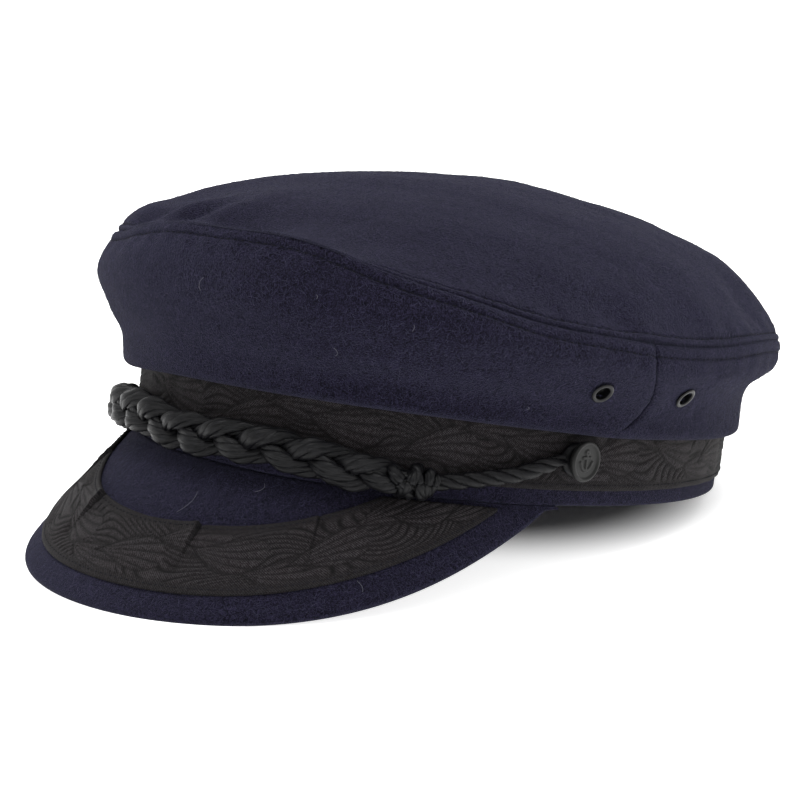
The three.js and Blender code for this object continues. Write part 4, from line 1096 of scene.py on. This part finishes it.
def rope(name, side, material):
    """Three strands laid up together, which end in an eye round the button's shank."""
    share = np.linspace(0, 1, ROPE_POINTS)
    turns = side * (ROPE_START_TURN + (BUTTON_TURN - EYE_TURN - ROPE_START_TURN) * share)
    low = plait_height(ROPE_START_TURN)
    z = low + (BUTTON_HEIGHT - low) * np.interp(share, *zip(*ROPE_ROUTE))
    slim = 1 - 0.3 * smoothstep(0.8, 1, share)
    middle = oval(turns, HEM_INNER + ROPE_RADIUS - 0.6 * smoothstep(0.8, 1, share), z)
    length = np.linalg.norm(np.diff(middle, axis=0), axis=-1).sum()
    outward = oval(turns, 1, 0) - oval(turns, 0, 0)
    along = np.gradient(middle, axis=0)
    along /= np.linalg.norm(along, axis=-1, keepdims=True)
    up = np.cross(along, outward)
    tubes = []
    for strand in range(3):
        angle = 2 * math.pi * (strand / 3 + share * length / ROPE_PITCH)
        around = np.cos(angle)[:, None] * outward + np.sin(angle)[:, None] * up
        offset = (ROPE_OFFSET * slim)[:, None] * around
        tubes.append(tube_points(middle + offset, offset, ROPE_STRAND_WIDE * slim, ROPE_STRAND_DEEP * slim,
                                 ROPE_SIDES, 1.5 * angle, ROPE_RIDGES, ROPE_RIDGE))
    ring = np.linspace(0, 2 * math.pi, EYE_POINTS)[:, None]
    centre = oval(side * BUTTON_TURN, HEM_INNER + EYE_OUT, BUTTON_HEIGHT)
    across, upright, normal = band_axes(side * BUTTON_TURN)
    eye = centre + EYE_RADIUS * (np.cos(ring) * across + np.sin(ring) * upright)
    normals = np.broadcast_to(normal, eye.shape)
    tubes.append(tube_points(eye, normals, EYE_THICKNESS, EYE_THICKNESS, EYE_SIDES))
    tube_piece(name + "_cord", tubes, material, [name])


# Button and eyelets


# Profile of a button as radius and height rows: its face, then its rim, edge, back and shank
BUTTON_FACE = [(radius, 5.55) for radius in np.linspace(0.02, 5.35, 46)]
BUTTON_RIM = [(5.55, 5.62), (5.75, 5.86), (5.95, 6.03), (6.2, 6.1), (6.45, 6.08), (6.7, 5.98), (6.88, 5.8),
              (6.97, 5.55), (7, 5.2), (6.95, 4.7), (6.75, 4.3), (6.4, 4.0), (6, 3.8), (1.6, 3.8), (1.5, 3.6),
              (1.5, 0), (0.02, 0)]
BUTTON_SIDES = 96

# A plain anchor on it: its bars from end to end, its ring's place and radius, its arms' middle and
# radius with the height that they end at, and how it stands off the face
ANCHOR_BARS = (((0, -2.6), (0, 2.1)), ((-1.6, 1.2), (1.6, 1.2)),
               ((-2.25, -1.0), (-2.75, -0.2)), ((2.25, -1.0), (2.75, -0.2)))
ANCHOR_RING = 2.75
ANCHOR_RING_RADIUS = 0.55
ANCHOR_ARMS = -0.3
ANCHOR_ARMS_RADIUS = 2.35
ANCHOR_ARMS_END = -0.9
ANCHOR_RELIEF = 0.42
ANCHOR_EDGE = (0.62, 0.28)
ANCHOR_WITHIN = 5
NO_ARM = 9


def disc_piece(name, replaced, centre, axes, profile, relief, material, around):
    """A turned piece. Its profile is radius and height rows from its middle out and round to the
    back, and relief is what stands off it."""
    across, up, outward = axes
    angle = np.linspace(0, 2 * math.pi, around, endpoint=False)[None, :]
    radius = np.array([row[0] for row in profile])[:, None]
    height = np.array([row[1] for row in profile])[:, None] + 0 * angle
    if relief is not None:
        height = height + relief(radius * np.cos(angle), radius * np.sin(angle), radius + 0 * angle)
    points = (centre + (radius * np.cos(angle))[..., None] * across
              + (radius * np.sin(angle))[..., None] * up + height[..., None] * outward)
    rows = len(profile)
    closed = profile[0][0] > 1
    faces = grid_faces(rows, around, close_rows=closed, close_columns=True).tolist()
    if not closed:
        faces.append(list(range(around)))
        faces.append([(rows - 1) * around + i for i in range(around)])
    return new_piece(name, points.reshape(-1, 3), faces, material, replaced)


def segment_distance(x, y, start, end):
    ax, ay = start
    bx, by = end
    length = (bx - ax) ** 2 + (by - ay) ** 2
    t = np.clip(((x - ax) * (bx - ax) + (y - ay) * (by - ay)) / length, 0, 1)
    return np.hypot(x - ax - t * (bx - ax), y - ay - t * (by - ay))


def anchor_relief(x, y, radius):
    """A plain anchor standing a little off the face of the button."""
    parts = [segment_distance(x, y, start, end) for start, end in ANCHOR_BARS]
    parts.append(abs(np.hypot(x, y - ANCHOR_RING) - ANCHOR_RING_RADIUS))
    arms = abs(np.hypot(x, y - ANCHOR_ARMS) - ANCHOR_ARMS_RADIUS)
    parts.append(np.where(y < ANCHOR_ARMS_END, arms, NO_ARM))
    return ANCHOR_RELIEF * smoothstep(*ANCHOR_EDGE, np.minimum.reduce(parts)) * (radius < ANCHOR_WITHIN)


def band_axes(turn):
    """Axes of a place on the band: along it, up and outwards."""
    outward = oval(turn, 1, 0) - oval(turn, 0, 0)
    return np.cross([0, 0, 1], outward), np.array([0, 0, 1.0]), outward


def button(side_name, side, material):
    across, up, outward = band_axes(side * BUTTON_TURN)
    yaw = math.radians(BUTTON_YAW) * side
    turned = (across * math.cos(yaw) - outward * math.sin(yaw), up,
              outward * math.cos(yaw) + across * math.sin(yaw))
    centre = oval(side * BUTTON_TURN, HEM_INNER, BUTTON_HEIGHT)
    profile = [(BUTTON_SIZE * radius, height) for radius, height in BUTTON_FACE + BUTTON_RIM]
    disc_piece(f"button_{side_name}_disc", [f"button_{side_name}"], centre, turned, profile,
               anchor_relief, material, BUTTON_SIDES)


EYELET_DROP = 0.545
EYELET_FRONT_TURN = 75.5
EYELET_REAR_TURN = 94.5
EYELET_TURNS = {"left_front": EYELET_FRONT_TURN, "left_rear": EYELET_REAR_TURN,
                "right_front": -EYELET_FRONT_TURN, "right_rear": -EYELET_REAR_TURN}
# Profile of an eyelet as radius and height rows: the rolled rim, then its bore, the narrow back of the
# bore, the flange inside the crown and the barrel. The narrow back is a dark disc, painted shade inside the
# hole
EYELET_ROLL = [(3.0 + 0.65 * math.cos(angle), 0.3 + 0.42 * math.sin(angle))
               for angle in np.radians(np.linspace(0, 180, 15))]
EYELET_BARREL_AND_SHADE_DISC = [(2.32, 0.0), (2.3, -1.0), (2.2, -2.6), (0.8, -2.8), (0.8, -3.5), (3.65, -3.5),
                 (3.65, -3.0), (2.5, -3.0), (2.5, 0.2)]
EYELET_SIDES = 56
# The hole for it: radius, sides and reach to either side of the cloth's face
HOLE_RADIUS = 2.62
HOLE_SIDES = 40
HOLE_REACH = 7
# Steps in turn and drop over which the crown's face is measured
FACE_STEP = 0.02


def crown_axes(turn, drop):
    """A place of the crown's side with its axes: along it, up its face and outwards."""
    def at(t, d):
        out, z = crown_side(np.array([t]), np.array([d]))
        return oval(np.array([t]), out, z)[0]

    along = at(turn + FACE_STEP, drop) - at(turn - FACE_STEP, drop)
    along /= np.linalg.norm(along)
    up = at(turn, drop - FACE_STEP) - at(turn, drop + FACE_STEP)
    outward = np.cross(along, up)
    outward /= np.linalg.norm(outward)
    return at(turn, drop), (along, np.cross(outward, along), outward)


def eyelet(name, turn, enamel):
    centre, axes = crown_axes(turn, EYELET_DROP)
    disc_piece(f"eyelet_{name}_ring", [f"eyelet_{name}"], centre, axes, EYELET_ROLL + EYELET_BARREL_AND_SHADE_DISC,
               None, enamel, EYELET_SIDES)


def cut_eyelet_hole(piece, turn):
    """Cut a round hole through a piece of the crown's side."""
    centre, axes = crown_axes(turn, EYELET_DROP)
    ring = np.linspace(0, 2 * math.pi, HOLE_SIDES, endpoint=False)[:, None]
    circle = HOLE_RADIUS * (np.cos(ring) * axes[0] + np.sin(ring) * axes[1])
    rings = np.stack([centre + circle + axes[2] * height for height in (-HOLE_REACH, HOLE_REACH)])
    mesh = bpy.data.meshes.new("hole")
    mesh.from_pydata(place(rings.reshape(-1, 3)).tolist(), [], closed_tube(rings, 0))
    tool = bpy.data.objects.new("hole", mesh)
    bpy.context.scene.collection.objects.link(tool)
    cut = piece.modifiers.new("hole", "BOOLEAN")
    cut.object = tool
    cut.operation = "DIFFERENCE"
    cut.solver = "MANIFOLD"
    bpy.context.view_layer.update()
    graph = bpy.context.evaluated_depsgraph_get()
    mesh_cut = bpy.data.meshes.new_from_object(piece.evaluated_get(graph))
    piece.modifiers.clear()
    piece.data = mesh_cut
    bpy.data.objects.remove(tool)
    bpy.data.meshes.remove(mesh)


# Materials


def new_material(name, **sockets):
    """A material and its nodes. Sockets are the shader's own values, by name with _ for a space."""
    material = bpy.data.materials.new(name)
    material.use_nodes = True
    shader = material.node_tree.nodes["Principled BSDF"]
    for socket, value in sockets.items():
        shader.inputs[socket.replace("_", " ")].default_value = value
    return material, material.node_tree, shader


def node(tree, kind, settings=None, **inputs):
    """A node, its settings, and its inputs: a value, or another node's output to link from."""
    made = tree.nodes.new(kind)
    for key, value in (settings or {}).items():
        setattr(made, key, value)
    for key, value in inputs.items():
        socket = made.inputs[int(key[1:])] if key[1:].isdigit() else made.inputs[key.replace("_", " ")]
        if isinstance(value, bpy.types.NodeSocket):
            tree.links.new(value, socket)
        else:
            socket.default_value = value
    return made.outputs[0]


def math_node(tree, operation, first, second, clamp=False):
    return node(tree, "ShaderNodeMath", {"operation": operation, "use_clamp": clamp}, _0=first, _1=second)


def noise(tree, place_output, scale, detail, roughness, distortion=0):
    return node(tree, "ShaderNodeTexNoise", None, Vector=place_output, Scale=scale, Detail=detail,
                Roughness=roughness, Distortion=distortion)


def object_place(tree):
    return tree.nodes.new("ShaderNodeTexCoord").outputs["Object"]


def mix_colour(tree, dark, light, amount):
    mixed = tree.nodes.new("ShaderNodeMix")
    mixed.data_type = "RGBA"
    tree.links.new(amount, mixed.inputs[0])
    for index, value in ((6, dark), (7, light)):
        if isinstance(value, bpy.types.NodeSocket):
            tree.links.new(value, mixed.inputs[index])
        else:
            mixed.inputs[index].default_value = (*value, 1)
    return mixed.outputs[2]


def point_value(tree, name, output):
    """The values that a mesh's points hold under a name."""
    attribute = tree.nodes.new("ShaderNodeAttribute")
    attribute.attribute_name = name
    return attribute.outputs[output]


def spread(tree, value, low, high):
    """A value stretched so that low becomes 0 and high becomes 1."""
    return node(tree, "ShaderNodeMapRange", None, Value=value, From_Min=low, From_Max=high)


def finish_surface(tree, shader, colour, height=None, strength=0, distance=0):
    """Link a surface's colour, and the fine relief of a height on it."""
    tree.links.new(colour, shader.inputs["Base Color"])
    if height is not None:
        lifted = node(tree, "ShaderNodeBump", None, Strength=strength, Distance=distance, Height=height)
        tree.links.new(lifted, shader.inputs["Normal"])


# Colours, deepest and palest of each surface, and the colour that its painted shade darkens it to
WOOL_TONES = ((0.0003, 0.0003, 0.0016), (0.0235, 0.0205, 0.044))
WOOL_MEAN = (0.0060, 0.0052, 0.0125)
WOOL_SHADE = (0.003, 0.003, 0.006)
# Fibres of the fuzz: real fibres, drawn paler than the wool as painted sheen
WOOL_FIBRE_SHEEN = (0.040, 0.039, 0.074)
PALE_LINT = (0.11, 0.11, 0.135)
DARK_THREAD = (0.0015, 0.0015, 0.004)
RIBBON_TONES = ((0.0002, 0.0002, 0.0004), (0.038, 0.0352, 0.0385))
RIBBON_TINT = (0.014, 0.006, 0.006)
RIBBON_TINTED = 0.25
RIBBON_SHADE = (0.001, 0.0009, 0.001)
CORD_TONES = ((0.0002, 0.0002, 0.0004), (0.0050, 0.0050, 0.0062))
BUTTON_TONES = ((0.0015, 0.0016, 0.0015), (0.0042, 0.0043, 0.0041))
ENAMEL_TONES = ((0.0015, 0.0015, 0.0018), (0.004, 0.004, 0.0045))
FLOOR_TONES = ((0.9, 0.9, 0.9), (0.93, 0.93, 0.925))
WHITE = (1, 1, 1, 1)
# Share of the wool's pattern that is its fine grain; the rest is its fibres
GRAIN_SHARE = 0.45
# Strength of the ribbon's threads beside its grain
THREAD_SHARE = 0.22


def wool_material():
    material, tree, shader = new_material(
        "navy_wool", Roughness=0.95, Sheen_Weight=0.085, Sheen_Roughness=0.4,
        Sheen_Tint=(0.60, 0.62, 0.95, 1), Specular_IOR_Level=0.05)
    where = object_place(tree)
    grain = noise(tree, where, 2100, 3, 0.7)
    fibres = noise(tree, where, 750, 4, 0.65, 2.5)
    cloud = noise(tree, where, 55, 3, 0.6)
    grain_part = math_node(tree, "MULTIPLY", grain, GRAIN_SHARE)
    mixed = math_node(tree, "ADD", grain_part, math_node(tree, "MULTIPLY", fibres, 1 - GRAIN_SHARE))
    tone = mix_colour(tree, *WOOL_TONES, spread(tree, mixed, 0.43, 0.64))
    clouded = mix_colour(tree, WOOL_MEAN, tone, spread(tree, cloud, -0.8, 0.6))
    # Painted shade: the points' shade darkens the wool at seams, stitch rows and under the hem
    shaded = mix_colour(tree, WOOL_SHADE, clouded, point_value(tree, "shade", "Fac"))
    finish_surface(tree, shader, shaded, mixed, 1, 0.0013)
    return material


# Threads of the ribbon, 0.75 millimetres apart, in radians per millimetre
THREADS = 2 * math.pi / 0.75


def ribbon_material():
    material, tree, shader = new_material(
        "woven_ribbon", Roughness=0.8, Sheen_Weight=0.014, Sheen_Roughness=0.4,
        Sheen_Tint=(0.9, 0.87, 0.87, 1), Specular_IOR_Level=0.12)
    where = object_place(tree)
    grain = noise(tree, where, 1700, 3, 0.7)
    cloud = noise(tree, where, 90, 2, 0.6)
    split = tree.nodes.new("ShaderNodeSeparateXYZ")
    tree.links.new(point_value(tree, "cloth", "Vector"), split.inputs[0])
    threads = [math_node(tree, "SINE", math_node(tree, "MULTIPLY", split.outputs[axis], THREADS), 0)
               for axis in (0, 1)]
    grid = math_node(tree, "MULTIPLY", math_node(tree, "MULTIPLY", *threads), THREAD_SHARE)
    weave = math_node(tree, "ADD", grid, grain)
    tone = mix_colour(tree, *RIBBON_TONES, spread(tree, weave, 0.39, 0.70))
    tinted = mix_colour(tree, tone, RIBBON_TINT, math_node(tree, "MULTIPLY", cloud, RIBBON_TINTED))
    # Painted shade: the points' shade darkens the ribbon in its grooves and in the pleats' tucks
    shaded = mix_colour(tree, RIBBON_SHADE, tinted, point_value(tree, "shade", "Fac"))
    finish_surface(tree, shader, shaded, weave, 0.6, 0.0004)
    return material


def cord_material():
    material, tree, shader = new_material("silky_cord", Roughness=0.38, Specular_IOR_Level=0.15)
    filaments = noise(tree, point_value(tree, "cloth", "Vector"), 3.4, 3, 0.65)
    tone = mix_colour(tree, *CORD_TONES, spread(tree, filaments, 0.38, 0.64))
    finish_surface(tree, shader, tone, filaments, 0.5, 0.0005)
    return material


def plain_material(name, colour):
    material, _, _ = new_material(name, Roughness=0.75, Specular_IOR_Level=0.15, Base_Color=(*colour, 1))
    return material


def button_material():
    material, tree, shader = new_material("button_grey", Roughness=0.5, Specular_IOR_Level=0.24)
    wear = noise(tree, object_place(tree), 400, 4, 0.6)
    finish_surface(tree, shader, mix_colour(tree, *BUTTON_TONES, wear), wear, 0.12, 0.0002)
    return material


def enamel_material():
    material, tree, shader = new_material(
        "black_enamel", Roughness=0.3, Specular_IOR_Level=0.14, Coat_Weight=0.1, Coat_Roughness=0.1)
    wear = noise(tree, object_place(tree), 900, 3, 0.6)
    finish_surface(tree, shader, mix_colour(tree, *ENAMEL_TONES, wear))
    return material


def floor_material():
    material, tree, shader = new_material("pale_floor_painted_glow", Roughness=0.9, Specular_IOR_Level=0.1)
    speck = noise(tree, object_place(tree), 30, 2, 0.6)
    finish_surface(tree, shader, mix_colour(tree, *FLOOR_TONES, speck))
    # Painted light: the floor glows more the farther it lies from where the cap rests, leaving a painted
    # shadow close to the cap
    away = node(tree, "ShaderNodeVectorMath", {"operation": "DISTANCE"}, _0=object_place(tree),
                _1=RESTING_PLACE).node.outputs["Value"]
    painted_glow = node(tree, "ShaderNodeMapRange", {"interpolation_type": "SMOOTHSTEP"}, Value=away,
                From_Min=PAINTED_GLOW_START, From_Max=PAINTED_GLOW_FULL, To_Max=FLOOR_PAINTED_GLOW)
    shader.inputs["Emission Color"].default_value = WHITE
    tree.links.new(painted_glow, shader.inputs["Emission Strength"])
    return material


# Floor, light and camera

# Brightness of the world behind the cap and on the camera's side
WORLD_BEHIND = 1.3
WORLD_BEFORE = 0.6
# The light overhead: direction in degrees, distance and size in metres, and power
OVERHEAD = (46, 80, 1.6, 1.4, 24)
FLOOR_HALF = 4
# The floor glows white round the place that the band rests on, a painted light that leaves a painted shadow
# near the cap: distances from it in metres, strength
RESTING_PLACE = (0, 0.048, 0)
PAINTED_GLOW_START = 0.045
PAINTED_GLOW_FULL = 0.09
FLOOR_PAINTED_GLOW = 0.8


def make_floor():
    mesh = bpy.data.meshes.new("floor")
    corners = [(x * FLOOR_HALF, y * FLOOR_HALF, 0) for x, y in ((-1, -1), (1, -1), (1, 1), (-1, 1))]
    mesh.from_pydata(corners, [], [(0, 1, 2, 3)])
    mesh.materials.append(floor_material())
    floor = bpy.data.objects.new("floor", mesh)
    bpy.context.scene.collection.objects.link(floor)


def make_light(name, azimuth, elevation, distance, size, power):
    """A soft round light aimed at the cap, by its direction from the cap."""
    light = bpy.data.lights.new(name, "AREA")
    light.shape = "DISK"
    light.size = size
    light.energy = power
    lamp = bpy.data.objects.new(name, light)
    lamp.location = direction(azimuth, elevation) * distance
    lamp.rotation_euler = (-lamp.location).to_track_quat("-Z", "Y").to_euler()
    bpy.context.scene.collection.objects.link(lamp)


def direction(azimuth, elevation):
    azimuth = math.radians(azimuth)
    elevation = math.radians(elevation)
    return Vector((math.sin(azimuth) * math.cos(elevation), -math.cos(azimuth) * math.cos(elevation),
                   math.sin(elevation)))


def make_world():
    """White all round: bright behind the cap and overhead, dim on the camera's side."""
    world = bpy.data.worlds.new("studio")
    world.use_nodes = True
    tree = world.node_tree
    where = tree.nodes.new("ShaderNodeTexCoord").outputs["Generated"]
    toward = node(tree, "ShaderNodeVectorMath", {"operation": "DOT_PRODUCT"}, _0=where,
                  _1=direction(math.degrees(CAMERA_AZIMUTH), 0)).node.outputs["Value"]
    level = node(tree, "ShaderNodeMapRange", None, Value=toward, From_Min=0.1, From_Max=0.9,
                 To_Min=WORLD_BEHIND, To_Max=WORLD_BEFORE)
    background = tree.nodes["Background"]
    background.inputs["Color"].default_value = WHITE
    tree.links.new(level, background.inputs["Strength"])
    bpy.context.scene.world = world


def make_camera():
    camera = bpy.data.cameras.new("camera")
    camera.lens = CAMERA_LENS
    camera.sensor_width = CAMERA_SENSOR
    target = Vector(CAMERA_TARGET)
    view = direction(math.degrees(CAMERA_AZIMUTH), math.degrees(CAMERA_ELEVATION))
    eye = bpy.data.objects.new("camera", camera)
    eye.location = target + view * CAMERA_DISTANCE
    eye.rotation_euler = (-view).to_track_quat("-Z", "Y").to_euler()
    bpy.context.scene.collection.objects.link(eye)
    bpy.context.scene.camera = eye


bpy.context.scene.view_settings.view_transform = "Standard"
make_camera()
make_world()
make_floor()
make_light("overhead", *OVERHEAD)

wool = wool_material()
ribbon = ribbon_material()
cord = cord_material()
fuzz_sheen = plain_material("wool_fibre_sheen", WOOL_FIBRE_SHEEN)
pale = plain_material("pale_lint", PALE_LINT)
thread = plain_material("dark_thread", DARK_THREAD)
grey = button_material()
enamel = enamel_material()

front_grid, front_away = crown_panel("front", -SIDE_SEAM_TURN, SIDE_SEAM_TURN,
                                     (-EYELET_FRONT_TURN, EYELET_FRONT_TURN), wool)
rear_grid, rear_away = crown_panel("rear", SIDE_SEAM_TURN, 360 - SIDE_SEAM_TURN,
                                   (EYELET_REAR_TURN, 360 - EYELET_REAR_TURN), wool)
top_grid, top_away = crown_top(wool)
headband(wool)
band_rows = band_ribbon(ribbon)
peak_grid = peak(wool)
peak_rows = peak_ribbon(ribbon)
plait(cord)
for side_name, side in (("left", 1), ("right", -1)):
    knot(f"knot_{side_name}", side, cord)
    rope(f"rope_{side_name}", side, cord)
    button(side_name, side, grey)
for name, turn in EYELET_TURNS.items():
    eyelet(name, turn, enamel)
seam_stitches("stitches_top", top_grid, top_away, STITCHES_ABOVE_SEAM, True, thread)
seam_stitches("stitches_front", front_grid, front_away, STITCHES_BELOW_SEAM, False, thread)
seam_stitches("stitches_rear", rear_grid, rear_away, STITCHES_BELOW_SEAM, False, thread)
ribbon_tubes = []
for line, normals in band_rows + peak_rows:
    ribbon_tubes += stitch_tubes(line, normals, *RIBBON_STITCHES)
tube_piece("stitches_ribbon", ribbon_tubes, thread)
lint(pale)
grids = (top_grid, front_grid, rear_grid, peak_grid)
for seed, (grid, (name, count)) in enumerate(zip(grids, FIBRE_COUNTS.items())):
    wool_fibres(f"fibres_{name}", grid, surface_normals(grid, name == "top"), count, fuzz_sheen, seed)
